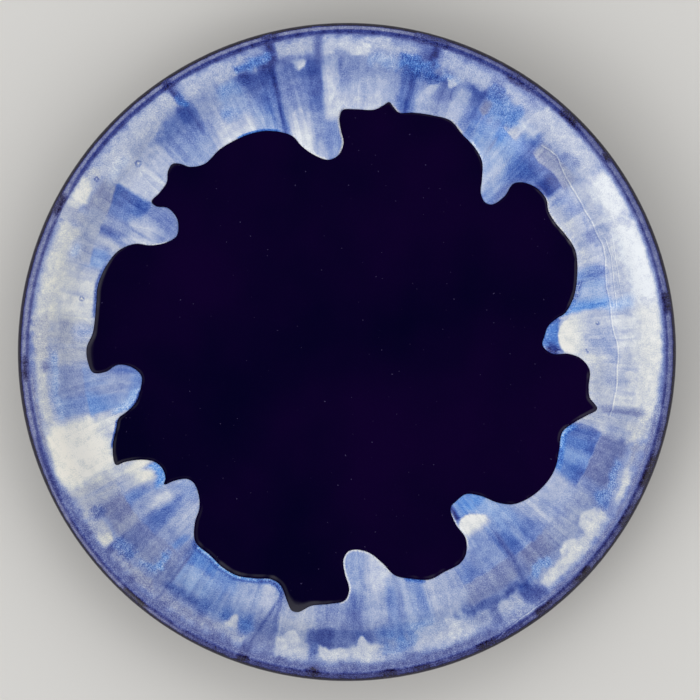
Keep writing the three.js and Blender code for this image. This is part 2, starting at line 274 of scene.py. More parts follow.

# Glaze that pooled at the foot of the wall and ran on over the well. Where their tops are crisp, about 20 to
# 22 mm in, they draw part of the painted reflection line at the foot of the wall
POOL_RUNS = [
    Run(0.83, -0.2, -2, 10, 20, rise=1),
    Run(0.69, 0.0, 0.2, 4.6, 21, 26, rise=1, end=4),
    Run(0.78, 0.3, 11.4, 16, 20.4, rise=0.8),
    Run(0.69, 0.35, 15.6, 19.6, 20.2, rise=0.8),
    Run(0.58, 0.2, 16, 18.8, 18.2, 26, side=0.8, rise=0.8),
    Run(0.82, -0.35, 19.4, 37.6, 19.4, rise=0.8),
    Run(0.50, -0.2, 24.2, 26.4, 17.4, 23, side=0.7, end=3),
    Run(0.58, 0.1, 31.6, 34, 18.4, 23.6, side=1, end=3),
    Run(0.68, 0.1, 34, 36.4, 18.8, 24),
    Run(0.35, 0.2, 37.6, 42, 17, side=0.5, rough=0.4),
    Run(0.47, 0.2, 42, 45.4, 16, side=0.9, rough=0.4),
    Run(0.70, 0.1, 43, 49, 29, rise=3),
    Run(0.55, -0.1, 43.4, 46.4, 29, side=1.2, rise=3, rough=0.5),
    Run(0.38, 0.4, 45.2, 48, 16.4, 28, side=1.4, rise=2, end=5),
    Run(0.48, 0.4, 48, 50.6, 16.6, 23, side=1.6, end=5),
    Run(0.68, 0.4, 50, 54, 17, 25, side=1.8, end=5),
    Run(0.85, 0.2, 49.6, 53.4, 28, side=2.2, rise=6, rough=0.7),
    Run(0.62, 0.2, 45.6, 50, 38.4, rise=2),
    Run(0.58, 0.8, 53.6, 55.4, 16, 23.6, side=0.7, end=3),
    Run(0.72, 0.4, 55.6, 60.4, 19),
    Run(0.58, 0.4, 57.8, 60.6, 18.6, 23, end=4),
    Run(0.80, 0.3, 52.6, 56.6, 26, rise=3),
    Run(0.54, 0.2, 60, 62.4, 25, rise=2),
    Run(0.40, 0.5, 60.4, 63, 16, 22, end=4),
    Run(0.58, 0.1, 62.8, 64.4, 16),
    Run(0.77, 0.0, 64.4, 67, 14),
    Run(0.70, -0.3, 67, 71.6, 20, rise=4),
    Run(0.74, 0.0, 71.6, 74.6, 20, side=0.7, rise=4, lean=0.6, rough=0.5),
    Run(0.46, 0.2, 75, 79, 13, side=0.8),
    Run(0.32, 0.2, 76, 76.8, 13, side=0.45, rough=0.5),
    Run(0.68, 0.0, 78.8, 81.4, 13, side=0.8),
    Run(0.82, 0.0, 81, 95.2, 21, rise=4),
    Run(0.60, 0.1, 90, 97.4, 31.4, rise=1),
    Run(0.58, 0.0, 98, 104.6, 11, 27, end=5),
    Run(0.46, 0.1, 95.4, 99, 11, 28, side=1.2, end=8, rough=0.6),
    Run(0.37, 0.1, 95.4, 97.2, 12, 23, side=0.9, end=6, rough=0.6),
    Run(0.64, 0.0, 95.6, 98.8, 31, rise=5, rough=0.6),
    Run(0.80, 0.0, 91.6, 95.3, 12.6, 31.2, side=0.3, rise=4, end=0.5, bulge=0.5, rough=0.4),
    Run(0.92, -0.1, 91.8, 94.8, 23, 30.8, side=0.8, rise=6, end=0.8, rough=0.4),
    Run(0.84, 0.0, 98.8, 105, 27, rise=5),
    Run(0.78, 0.0, 95.6, 100.6, 39.6, side=1.4, rise=2),
    Run(0.92, -0.1, 99.6, 104, 33, side=1.4, rise=3),
    Run(0.20, 0.1, 104.5, 105.2, 9, 35, side=0.4, lean=0.8, rough=0.4),
    Run(0.60, 0.2, 105.6, 112, 22, rise=5),
    Run(0.46, 0.3, 105.6, 108.2, 18, 26, end=5),
    Run(0.46, 0.2, 104.6, 106.4, 29, side=0.6, rise=3),
    Run(0.74, 0.2, 108.6, 112, 24, rise=3),
    Run(0.90, 0.0, 111.4, 124, 24, side=1.2, rise=4, rough=0.6),
    Run(0.54, 0.1, 122.8, 132.4, 11, 24, rise=1.4, end=4),
    Run(0.36, 0.2, 122.9, 125.8, 11.5, 17, side=1.2, rise=1, end=5),
    Run(0.54, 0.1, 128.6, 132.2, 13, 22, end=4),
    Run(0.71, 0.1, 123.2, 131.6, 22, side=1, rise=5),
    Run(0.78, 0.0, 131.8, 137.4, 16, side=2),
    Run(0.84, 0.0, 137.4, 143.8, 16),
    Run(0.44, 0.3, 143.6, 146.2, 12, 27.6, side=0.4, end=0.8, lean=-0.8, rough=0.4),
    Run(0.45, 0.3, 145.4, 148, 12, 27.2, side=0.7, end=1.4, rough=0.4),
    Run(0.55, 0.2, 147.4, 150.4, 12, 26, side=1, end=3, rough=0.5),
    Run(0.68, -0.2, 150, 153, 16, side=0.8),
    Run(0.46, 0.2, 152.8, 154.8, 15, 22, side=0.7, end=3),
    Run(0.78, -0.6, 154.8, 157.6, 15, side=0.7),
    Run(0.66, 0.4, 157.4, 162.4, 16, 24, side=1.4, end=2.6, lean=-0.8, rough=0.5),
    Run(0.62, 0.0, 140, 147, 28, rise=0.8),
    Run(0.79, -0.1, 146.8, 154, 25, rise=2),
    Run(0.86, -0.2, 149.4, 152, 26.4, 34, rise=2),
    Run(0.58, -0.1, 143, 150, 36, side=1.8, rise=3.4, rough=0.6),
    Run(0.68, 0.2, 182.8, 194.2, 20.9, side=0.9, rise=0.3, rough=0.3),
    Run(0.60, 0.6, 189, 194, 20.9, 27, side=1.6, rise=0.3, end=5, rough=0.4),
    Run(0.70, -0.2, 183.4, 190, 26, 38, side=2, rise=5),
    Run(0.54, 0.1, 182.4, 185.8, 29, side=1, rise=3),
    Run(0.57, 0.35, 184, 191, 37, rise=3.4),
    Run(0.88, -0.4, 194.4, 200, 22.4, rise=0.8),
    Run(0.80, -0.6, 205.6, 213, 20.6, side=1.3, rise=0.8),
    Run(0.68, -0.3, 209.8, 213, 20.6, 25, rise=0.6, end=4),
    Run(0.93, -0.9, 206.6, 212.6, 27, 33.4, rise=4, end=0.7, rough=0.5),
    Run(0.55, 0.3, 212.8, 216.4, 20.5, 27, side=0.7, rise=0.4, end=4, rough=0.3),
    Run(0.68, -0.1, 216, 219.9, 20.5, side=0.6, rise=0.4),
    Run(0.87, -0.2, 216.8, 219.6, 26.4, 34, side=0.8, rise=4, end=0.8),
    Run(0.50, 0.2, 219.9, 223.6, 20.8, 33, side=1, rise=0.4, end=8, rough=0.5),
    Run(0.70, -0.1, 223.6, 230.6, 22, rise=0.5),
    Run(0.70, 0.1, 216.6, 229, 37),
    Run(0.80, -0.1, 224, 227.6, 27, 37, rise=3),
    Run(0.60, 0.4, 228.2, 230, 22, 28, side=0.6, rise=0.4),
    Run(0.57, 0.6, 232.6, 239.6, 21.4, side=1.2, rise=1),
    Run(0.62, 0.4, 240, 245.4, 19, rise=3),
    Run(0.74, 0.1, 245.4, 251.4, 17),
    Run(0.81, 0.0, 250.6, 254.4, 18, side=0.7, rise=4, lean=0.8, rough=0.6),
    Run(0.52, -0.1, 254.6, 256.2, 14, side=0.6),
    Run(0.76, -0.3, 256.2, 263, 16, side=0.8),
    Run(0.64, -0.1, 263, 270.4, 18),
    Run(0.50, 0.0, 270.2, 274.2, 17, 31, side=0.9, end=5),
    Run(0.70, 0.1, 267.6, 276, 28.6, rise=3),
    Run(0.72, 0.0, 274, 279.4, 18),
    Run(0.87, 0.0, 275.8, 281, 29, 40, rise=2.2),
    Run(0.60, 0.2, 279.4, 281.8, 17, 31, side=0.9, end=3),
    Run(0.81, 0.1, 282.2, 285, 17),
    Run(0.62, 0.2, 284.8, 288.4, 16),
    Run(0.78, -0.1, 288.4, 294.2, 17, side=0.8, rise=3),
    Run(0.74, -0.1, 293.6, 296, 18, side=0.8),
    Run(0.62, 0.1, 296, 300.4, 22, rise=0.4),
    Run(0.56, 0.2, 296.8, 300.4, 22, 25.4, rise=0.4, end=1.6),
    Run(0.66, 0.1, 302, 309, 22.3, rise=0.3, rough=0.3),
    Run(0.52, 0.1, 299, 302, 22.3, 25, rise=0.3, end=3, rough=0.3),
    Run(0.46, 0.3, 308.4, 312.4, 21, 33, rise=0.5, end=4, lean=0.8),
    Run(0.68, 0.2, 312, 316.6, 21, rise=0.5),
    Run(0.52, 0.2, 314, 316.8, 21, 26, rise=0.5, end=4),
    Run(0.60, 0.1, 316, 319, 20.8, 27, rise=0.5, end=4),
    Run(0.79, -0.1, 318.8, 331, 21),
    Run(0.68, 0.0, 322.4, 324, 19, 27, side=0.8),
    Run(0.62, 0.35, 330, 334.4, 20.4, side=0.8, rise=0.3, rough=0.5),
    Run(0.36, 0.4, 329.7, 334, 20.4, 24.6, side=0.8, rise=0.3, end=4, rough=0.5),
    Run(0.66, 0.4, 334, 337.4, 20.4, side=1.4, rise=0.3, rough=0.5),
    Run(0.55, 0.4, 337, 340.2, 20.4, side=1.2, rise=0.3, rough=0.5),
    Run(0.38, 0.4, 337.2, 340, 20.4, 22, side=0.8, rise=0.3, end=1.4, rough=0.5),
    Run(0.48, 0.2, 339.8, 342.6, 20.4, side=0.6, rise=0.3, rough=0.3),
    Run(0.78, -0.7, 342.6, 358, 19.6, side=0.8, rise=1),
    Run(0.88, -0.5, 357, 359.8, 24, 32, rise=3, end=3),
    Run(0.69, -0.4, 353.2, 356.6, 19.4, 22, rise=0.8, end=3),
    Run(0.72, 0.3, 309.6, 315.8, 31, rise=3),
    Run(0.76, 0.4, 308, 313.4, 36, 43, rise=3),
    Run(0.22, -0.2, 300, 304.4, 41, side=0.8, rise=0.6),
    Run(0.62, 0.75, 305, 314.6, 41.6, side=1, rise=1.2),
]

# Thin veils on the wall that end along a crisp line. Their greyer tone and the crisp line are partly painted
# reflection: the steep wall above the line mirrors the bright surroundings and the flatter glaze below it the
# dark ceiling
VEILS_AND_SHEEN = [
    Veil(0.66, -0.9, 13.4,
         [(36.8, 19), (39, 18.4), (41, 18), (43, 18.8), (44.6, 19.5), (46, 19), (46.9, 18.4)]),
    Veil(0.80, -0.5, 15.4, [(51.6, 18.9), (53, 18.7), (55, 18.2)], rise=2.4),
    Veil(0.60, -0.9, 13.6, [(59.4, 17), (60.2, 18), (61.2, 17.2)], side=0.5),
    Veil(0.74, -0.4, 11, [(131, 12.6), (134, 13.6), (138, 15.2), (141, 15), (144, 14.4)], rise=2.4),
    Veil(0.66, -0.8, 10, [(144, 14.4), (146.5, 15.8), (149, 17), (151, 17.4)]),
    Veil(0.73, -0.5, 11, [(150, 17.3), (154, 17.5), (157, 17.5), (160, 18.2), (161.2, 18.6)], rise=2.4),
]

# Cream lenses on the drips that end along a crisp line
LENSES = [
    Veil(0.95, -0.7, 31,
         [(-0.6, 36.2), (0.8, 37.2), (2.6, 38.2), (4.5, 38.4), (6.5, 37.6), (7.8, 36), (8.8, 33.8)],
         side=0.9, rise=4),
    Veil(0.95, -0.5, 35.4, [(302.4, 39.6), (304, 41.4), (306, 41.6), (307.6, 40.6), (309.2, 39), (310.2, 38)],
         side=0.6, rise=1.8),
]

# White clouds that stayed on the flare under the lip, some with a small drop hanging from them. The whitest
# ones on the right, from about 345 to 36 degrees, are partly painted reflection of bright light on the
# sloping flare
CLOUD_AND_SHEEN_RUNS = [
    Run(0.91, -0.3, -3, 9.6, 4.8, 13, side=2, rise=1.1, end=3, rough=0.4),
    Run(0.96, 0.1, 9.4, 25, 4.4, 13.6, side=2, rise=1, end=3.4, rough=0.4),
    Run(0.93, 0.1, 25, 36, 4.4, 13.6, side=3, rise=1, end=4, rough=0.4),
    Run(0.78, -0.2, 36, 52, 4.2, 12.6, side=2.4, rise=0.8, end=2.6, rough=0.6),
    Run(0.62, -0.1, 39.2, 42.6, 9.8, 13, end=2),
    Run(0.84, 0.1, 49, 53.4, 10.4, 16, side=1, rise=3, end=2.4, rough=0.6),
    Run(0.75, 0.0, 53.4, 59.2, 5.8, 7.8, side=0.8, rise=1.4, end=0.5, bulge=2, rough=0.7),
    Run(0.76, 0.0, 61.6, 65.4, 5.2, 10, side=0.6, end=0.5, rough=0.6),
    Run(0.58, 0.0, 59.8, 61.8, 3.4, 8.4, side=0.7, rough=0.6),
    Run(0.74, 0.0, 65, 72.4, 4.8, 9.6, side=0.8, end=0.8),
    Run(0.82, 0.0, 67, 70, 10, 11.6, side=0.6, rise=1.4, end=0.6, bulge=3.2, rough=0.6),
    Run(0.76, -0.1, 78, 85, 4.8, 8, side=1.4, end=1),
    Run(0.89, 0.0, 84.6, 90.4, 5.6, 10.2, end=0.9),
    Run(0.81, 0.0, 88, 95, 4.8, 9.6, end=2),
    Run(0.74, -0.3, 96, 103.4, 4.2, 8.8, end=1.2),
    Run(0.86, -0.1, 97.8, 100.8, 11, 11.4, side=0.5, rise=1.4, end=0.5, bulge=2.6, rough=0.5),
    Run(0.70, -0.1, 106, 109.4, 4.6, 6.6, end=1),
    Run(0.78, -0.1, 109, 112, 3.8, 6.6, end=1),
    Run(0.77, 0.0, 111.4, 122, 4.2, 10, end=1.2, bulge=0.6),
    Run(0.77, -0.2, 124.4, 130, 4.2, 9.4, end=1.6),
    Run(0.77, -0.2, 128.4, 144, 4.2, 11.6, end=2),
    Run(0.81, -0.8, 144, 155, 4, 7.2),
    Run(0.90, -0.6, 146.8, 151.4, 4.6, 8.2, side=1.3, rise=1.4, end=1.1, bulge=1, rough=0.6),
    Run(0.84, -0.9, 155, 174, 4.8, 12, end=3, rough=0.4),
    Run(0.77, -1.2, 173, 182, 4.6, 10.6, end=1.4),
    Run(0.80, -0.9, 181.6, 194.6, 5.6, 9.4, rise=1.8, end=1.2, rough=0.6),
    Run(0.96, -0.8, 194.6, 206, 4.6, 22, side=2.4, rise=1.4, end=3, rough=0.3),
    Run(0.72, -0.7, 213, 219.3, 5.4, 9.6, side=1.2, rise=1.6, end=0.8, bulge=1.6, rough=0.8),
    Run(0.84, -1.0, 216.4, 219.2, 6.2, 9.4, side=0.8, rise=1.4, end=0.9, bulge=0.6, rough=0.6),
    Run(0.64, -0.8, 219.4, 231, 5.6, 9.4, end=1),
    Run(0.62, -0.6, 231, 245, 5.6, 9.2, end=1.2),
    Run(0.71, -0.4, 244.6, 250, 6, 9.8, end=1),
    Run(0.84, -0.3, 245.8, 248.2, 9.6, 11.8, side=0.6, rise=1.6, end=0.6, bulge=2.6, rough=0.6),
    Run(0.80, -0.2, 256, 262.2, 4.8, 11.6, side=0.8, end=0.9, rough=0.8),
    Run(0.87, -0.1, 257, 260.8, 10, 12.4, side=0.9, rise=3, end=0.6, bulge=2.4, rough=0.5),
    Run(0.87, -0.1, 264, 270.2, 6.2, 10.2, side=0.8, rise=1.6, end=0.6, bulge=0.6, rough=0.9),
    Run(0.84, -0.1, 270.8, 277.4, 6.4, 11, side=0.8, rise=1.6, end=0.7, rough=0.9),
    Run(0.87, 0.0, 271.8, 274.2, 10, 11.2, side=0.5, rise=2, end=0.5, bulge=3.2, rough=0.4),
    Run(0.81, 0.1, 283, 288.5, 6.4, 11.8, side=0.8, end=0.7, bulge=2.7, rough=0.6),
    Run(0.78, 0.1, 288, 295.4, 5.6, 14, end=3),
    Run(0.86, 0.0, 289.4, 293.6, 7, 12, side=1.6, rise=2.4, end=3),
    Run(0.68, -0.2, 295, 298.4, 8.6, 12, end=0.7),
    Run(0.54, -0.1, 298.4, 300.4, 5.6, 12, side=0.6),
    Run(0.74, -0.1, 300, 304.4, 6.4, 10.6, end=0.8, bulge=1.6),
    Run(0.74, -0.1, 303, 306.6, 5, 11),
    Run(0.84, -0.4, 309.8, 315.4, 6.6, 9.2, side=0.9, end=0.8, bulge=1.1, rough=0.6),
    Run(0.83, -0.5, 314.6, 328.4, 6.2, 10.4, end=1.1, rough=0.6),
    Run(0.92, -0.4, 316.8, 320.8, 9, 11.6, side=0.9, rise=3, end=0.7, bulge=1.8, rough=0.5),
    Run(0.89, -0.4, 323, 327.6, 9.6, 12, side=0.9, rise=3, end=0.7, bulge=2.2, rough=0.6),
    Run(0.84, -0.5, 331, 337.4, 6, 8.6, side=1.3, rise=1.4, end=0.9, rough=0.8),
    Run(0.66, -0.8, 338, 343, 6, 9),
    Run(0.82, -0.7, 342.4, 349, 5.8, 12),
    Run(0.90, -0.4, 348.6, 362, 5, 14, side=1.4, rise=1.4, end=3, rough=0.4),
    Run(0.62, -0.5, 346.4, 350.4, 3.4, 5.2),
]

# Patches where the two glazes met and grew bright blue crystals
CRYSTAL_RUNS = [
    Run(0.82, 0.55, 8.8, 11.2, 12.6, 21, side=1.4, end=3, rough=0.3),
    Run(0.64, 0.8, 9.8, 12, 20, side=0.9, rough=0.4),
    Run(0.55, 0.65, 1, 10.4, 37.6, rise=0.6, rough=0.5),
    Run(0.30, 0.0, -2, 2.6, 38, 42, side=0.9, rise=1),
    Run(0.40, 0.4, 8, 11, 36.6, side=0.8, rise=1),
    Run(0.64, 0.5, 54, 59.6, 10, 16, side=1.4, rise=1.6, end=3, rough=0.8),
    Run(0.51, 0.5, 58, 61.4, 7.8, 12, side=0.8, rise=0.9, end=1.6, rough=0.8),
    Run(0.62, 0.6, 54, 55.6, 8.6, 17, side=0.7, rise=1, end=4, rough=0.8),
    Run(0.38, 0.4, 70.8, 79, 12.2, 14.2, side=1, rise=0.8, end=1.8),
    Run(0.50, 0.8, 73.4, 79.8, 8.2, 12.8, side=1, rise=1.2, end=1.4),
    Run(0.74, 0.35, 79.6, 85.6, 9.4, 13, rough=0.7),
    Run(0.68, 0.5, 68, 71.6, 9.4, 12, end=1),
    Run(0.53, 0.8, 104.4, 112, 7, 9.6, side=0.9, rise=1.1, end=0.9),
    Run(0.30, 0.1, 104.6, 107, 10, 13, side=0.8, rise=0.8, end=3, rough=0.4),
    Run(0.33, 0.2, 109.6, 112.2, 10.4, 13.4, side=0.8, rise=0.8, end=3, rough=0.4),
    Run(0.66, 0.5, 113, 116.6, 12, 16, side=1.8, rise=1.6, end=3, rough=0.7),
    Run(0.66, 0.4, 115, 117.8, 18.6, 22, side=1.6, rise=2, end=2.4, rough=0.5),
    Run(0.48, 0.9, 122.6, 124.4, 8, 11.6, side=0.5, end=0.8),
    Run(0.85, 0.2, 137.6, 144, 9, 14, side=1.6, rough=0.4),
    Run(0.79, 0.3, 157.4, 161.4, 11, 14.2, side=1.2, rise=1.6, end=1.4, rough=0.5),
    Run(0.74, 0.3, 180, 194, 10, 12.8, side=1.6, rise=1.6, end=0.7, rough=0.6),
    Run(0.74, 0.1, 174, 177.2, 18, side=1.6, rough=0.3),
    Run(0.52, 0.0, 211.2, 213.4, 9, 13, side=0.8),
    Run(0.54, 0.4, 219.6, 224, 7.6, 12.4, end=1.2),
    Run(0.64, 0.3, 224.4, 229.2, 10, 13, side=1, rise=1.4, end=1, rough=0.8),
    Run(0.64, 0.7, 227.8, 230, 13, 19, side=0.6),
    Run(0.46, 0.2, 232, 241.4, 10, 13, rise=1.8, end=1.2, rough=0.4),
    Run(0.53, 0.4, 244, 246, 11.6, 15, side=0.8, rise=1, rough=0.5),
    Run(0.50, 0.3, 240, 242, 9.6, 14, side=0.8, rough=0.5),
    Run(0.54, 0.5, 248.2, 251.2, 10, 15, side=1, end=3, rough=0.5),
    Run(0.48, 0.3, 262.8, 264.2, 7, 11, side=0.6, rough=0.5),
    Run(0.62, 0.55, 277.4, 283, 8.4, 12.6, side=1.8, rise=1.8, end=3.4, rough=0.7),
    Run(0.76, 0.4, 282.6, 287.4, 14, 16.4, rise=1, end=1, rough=0.6),
    Run(0.67, 0.5, 310, 315.2, 11, 13.6, side=1, rise=1, end=0.8, bulge=2, rough=0.8),
    Run(0.56, 0.5, 328.6, 331.4, 8.8, 13.6, side=0.8, rise=1.2, lean=0.8, rough=0.8),
    Run(0.62, 0.4, 330.4, 338.6, 9.8, 12.8, side=1.2, rise=0.9, end=1, rough=0.8),
]

# Narrow streaks on the rim and the wall
STREAK_RUNS = [
    Run(0.42, 0.1, 73, 76, 3, 9.4, side=1.2, end=3, rough=0.6),
    Run(0.18, 0.0, 72.6, 73.6, 0.8, 8, side=0.5, end=3, lean=0.6, rough=0.5),
    Run(0.50, -0.2, 90.6, 92.2, 10, 17, side=0.6),
    Run(0.66, -0.1, 150.2, 150.8, 22, 34, side=0.4, rough=0.5),
    Run(0.52, 0.0, 152.2, 152.7, 18, 27, side=0.4, rough=0.5),
    Run(0.44, -0.2, 95, 96.2, 0.8, 13, side=0.5, end=3, rough=0.5),
    Run(0.50, 0.0, 100, 102, 11.8, 14.4, side=0.8, rise=0.8, end=1.2),
    Run(0.18, 0.0, 103.2, 104.8, 0.8, 10, side=0.6, rough=0.5),
    Run(0.58, -0.8, 182.2, 183.8, 7.6, 10.4, side=0.8, rise=0.8, end=0.8),
    Run(0.30, -0.2, 123.2, 124.2, 0.8, 9, side=0.4, rough=0.5),
    Run(0.72, -0.7, 152.4, 154.2, 3.4, 13, side=0.6),
    Run(0.38, -0.4, 219.3, 220.8, 4, 13, side=0.5),
    Run(0.14, -0.5, 250.4, 252, 0.8, 6.4, side=0.5, end=3, rough=0.4),
    Run(0.44, -0.1, 250.9, 251.4, 5, 26, side=0.4, end=3, lean=3.9, rough=0.3),
    Run(0.50, -0.4, 232.3, 232.7, 4, 24, side=0.35, end=3, rough=0.3),
    Run(0.40, 0.0, 123.1, 123.4, 9, 22, side=0.35, end=4, rough=0.3),
    Run(0.40, 0.0, 306.6, 309.8, 3.6, 9, side=0.8),
    Run(0.24, 0.4, 306.4, 308.8, 7.4, 12.6, side=0.9, rise=1.6, end=1.4, rough=0.9),
    Run(0.48, -0.2, 307.4, 308.3, 12, 31, side=0.5, lean=1.6, rough=0.4),
    Run(0.84, -0.2, 256.2, 256.7, 8, 20, side=0.4, lean=-0.5, rough=0.3),
    Run(0.60, -0.1, 327.8, 330, 3, 20, side=0.7, lean=2),
    Run(0.58, -0.8, 347, 348.6, 9.6, 23, side=0.6),
]

# Bands along the lip where the overlay is worn thin, and notches where the dark coat comes through them
notch = partial(Run, rise=0.5, end=0.5)

LIP_RUNS = [
    Run(0.52, -1.0, 74, 103, 1.1, 2.1, side=3, rise=0.2, end=0.2, rough=0.2),
    Run(0.52, -1.0, 103, 148, 1.3, 2.3, side=3, rise=0.2, end=0.2, rough=0.2),
    Run(0.53, -1.2, 146, 196, 1.6, 2.8, side=4, rise=0.3, end=0.2, rough=0.2),
    Run(0.47, -1.1, -12, 43, 1.9, 2.7, side=4, rise=0.5, end=0.2, rough=0.2),
    Run(0.24, -0.4, 43, 103, 2.35, 3.5, side=3, rise=0.22, end=0.45, rough=0.1),
    Run(0.24, -0.4, 103, 148, 2.55, 3.7, side=3, rise=0.22, end=0.45, rough=0.1),
    Run(0.32, -1.0, 146, 196, 3.05, 3.6, side=4, rise=0.25, end=0.25, rough=0),
    Run(0.60, -1.2, 184, 200, 4, 5.2, side=3, rise=0.5, end=1, rough=0.4),
    Run(0.25, -1.0, -24, 43, 2.95, 3.25, side=4, rise=0.2, end=0.2, rough=0),
    notch(0.12, -1.4, 7, 10.6, 0.6, 3.2, side=0.6),
    notch(0.10, -1.4, 35.6, 38, 0.6, 2.2, side=0.6),
    notch(0.10, -1.2, 44.6, 48, 0.8, 3.4, side=0.8),
    Run(0.22, -0.8, 54.6, 60, 1.2, 4, rise=0.7, end=0.7),
    Run(0.20, -0.6, 71.6, 78, 0.8, 3.6, rise=0.6, end=0.6),
    notch(0.18, -0.5, 102.4, 105, 0.8, 3.8, side=0.8),
    notch(0.18, -0.5, 122.6, 124.4, 0.8, 3.8, side=0.5),
    notch(0.18, -1.6, 151.2, 154, 0.8, 3.2, side=0.6),
    Run(0.22, -1.6, 180.8, 185, 1.6, 3, side=0.8, rise=0.4, end=0.4),
    Run(0.40, -1.5, 205, 240, 0.9, 1.55, side=3, rise=0.25, end=0.25, rough=0.3),
    Run(0.26, -1.0, 200, 240, 1.75, 3.1, side=3, rise=0.25, end=0.35, rough=0.3),
    Run(0.02, -1.6, 227, 232, 0.8, 2.4, side=0.8, rise=0.4, end=0.4),
    Run(0.45, -0.5, 206, 298.6, 2.6, 5.4, side=3, rise=0.5, end=1.6, rough=0.8),
    Run(0.64, -0.3, 299, 306, 3.6, 5.4, side=2, rise=0.6, end=1.6, rough=0.8),
    Run(0.22, -1.0, 240, 303, 1.0, 2.5, side=2, rise=0.3, end=0.5, rough=0.7),
    Run(0.02, -1.5, 250.2, 252.2, 0.6, 3.4, side=0.5, rise=0.5, end=1),
    Run(0.14, -1.3, 262.6, 265, 0.8, 4, side=0.8, rise=0.5, end=0.6),
    notch(0.10, -1.2, 276.6, 279, 0.6, 3, side=0.8),
    notch(0.10, -1.2, 282, 285, 0.6, 2.6, side=0.8),
    notch(0.02, -1.2, 293.8, 297.2, 0.6, 3, side=0.7),
    Run(0.28, -1.3, 306, 348, 1.0, 2.5, side=2, rise=0.3, end=0.3, rough=0.6),
    Run(0.20, -1.0, 306, 348, 2.6, 3.1, side=2, rise=0.3, end=0.3, rough=0.4),
    Run(0.52, -0.8, 309, 347, 3.8, 5, side=2, rise=0.4, end=0.9, rough=0.6),
    notch(0.06, -1.8, 306.4, 309, 0.6, 3, side=0.7),
    notch(0.04, -1.8, 315, 318.4, 0.6, 2.8, side=0.7),
    notch(0.08, -1.6, 327.6, 331, 0.8, 3, side=0.7),
    notch(0.04, -1.8, 336.4, 341, 0.8, 2.8, side=0.8),
]

# Fringes along the edge of the overlay: milkiness, hue, from degrees, to degrees, width in millimetres. The
# narrow pale ones, under a millimetre wide and 0.74 milky or more, are painted highlights where the round
# bead of the edge catches the light; the others are the glaze's own fringes
FRINGES_AND_BEAD_GLINTS = [
    (0.60, 0.7, 9.6, 13, 1.3),
    (0.56, 0.1, 13, 17, 1.9),
    (0.82, -0.8, 26, 38.4, 0.5),
    (0.84, 0.3, 54, 59.4, 0.9),
    (0.76, -1.5, 62.2, 66, 0.6),
    (0.74, -1.6, 77.6, 79.6, 0.5),
    (0.92, -0.3, 96, 102, 0.6),
    (0.78, -1.2, 90.5, 92.4, 0.6),
    (0.45, 0.9, 107, 117, 0.7),
    (0.88, -0.2, 148.4, 152, 0.5),
    (0.48, 0.2, 160, 172, 1.1),
    (0.76, 0.6, 190, 195, 3.0),
    (0.34, 0.5, 190.6, 194.4, 0.6),
    (0.34, 0.5, 196.4, 202, 0.6),
    (0.66, 0.9, 209.6, 215.8, 3.0),
    (0.40, 0.4, 231, 255, 1.7),
    (0.70, 1.0, 232.4, 249, 0.9),
    (0.56, 0.6, 247, 254.6, 0.7),
    (0.94, -0.1, 268.6, 281, 0.6),
    (0.42, 0.8, 284.4, 288.6, 1.0),
    (0.90, -0.2, 301.6, 303, 0.6),
    (0.48, 0.8, 331, 342.4, 1.8),
    (0.72, 0.9, 336, 341.4, 1.2),
]

# Thin folds in the overlay where it sagged, each a ridge in the relief with a painted highlight on its
# crest and painted shade on its inner side: how sharp the line is, then degrees round the plate and
# millimetres in from the lip
FOLDS = [
    (1.15, [
        (-14, 18.9), (-8, 18.5), (-3, 18.8), (2, 19), (6, 20.5), (10, 20), (14, 19.8), (17, 19), (20, 17.5),
        (22, 17), (25, 17), (30, 16.8), (35, 16.4), (38, 16), (40, 15.3), (41.5, 14.4), (43, 13.7),
        (45, 13.9), (47, 14.8),
    ]),
    (2.4, [(10, 15.8), (13, 15.6), (16, 15.2), (19, 14.6), (22, 13.6), (24, 12.8)]),
    (1.9, [(9, 18.2), (13, 17.6), (17, 16.6), (20, 15.6), (24, 15.4)]),
    (1.3, [(297, 1.6), (300, 3), (304, 3.9), (309, 3.4)]),
]
FOLD_FAR = 4.0

# Burst bubbles: degrees round the plate, millimetres in from the lip, radius in millimetres
PINHOLES = [(137.9, 15.6, 0.8), (168.6, 19, 0.6), (6.5, 25, 0.4), (145.4, 8.2, 0.6), (0.3, 29, 0.4)]


def direction(degrees):
    """Unit vectors at these angles, in a section or in the plan."""
    radians = np.radians(degrees)
    return np.stack([np.cos(radians), np.sin(radians)], axis=-1)


def smooth_step(low, high, value):
    """0 below low, 1 above high, and a smooth rise between them. It falls where low is the higher one."""
    share = np.clip((value - low) / (high - low), 0, 1)
    return share * share * (3 - 2 * share)


def polar(points):
    """Angle in degrees and distance in from the lip of points in the plan."""
    angle = np.degrees(np.arctan2(points[:, 1], points[:, 0])) % 360
    return angle, PLATE_RADIUS - np.hypot(points[:, 0], points[:, 1])


def turned_from(angle, middle):
    """Degrees from a middle angle to each angle, from -180 to 180."""
    return (angle - middle + 180) % 360 - 180


NOISE_ROWS = 64


def ring_noise(angle, reach, cells, cell_length, seed):
    """Smooth noise from 0 to 1 that closes on itself round the plate."""
    table = np.random.default_rng(seed).random((NOISE_ROWS, cells))
    across = angle / 360 * cells
    along = np.abs(reach) / cell_length
    column, row = np.floor(across).astype(int), np.floor(along).astype(int)
    right, down = smooth_step(0, 1, across - column), smooth_step(0, 1, along - row)

    def between_columns(line):
        here, beside = (table[line % NOISE_ROWS, (column + step) % cells] for step in (0, 1))
        return here * (1 - right) + beside * right

    return between_columns(row) * (1 - down) + between_columns(row + 1) * down


# Section of the plate


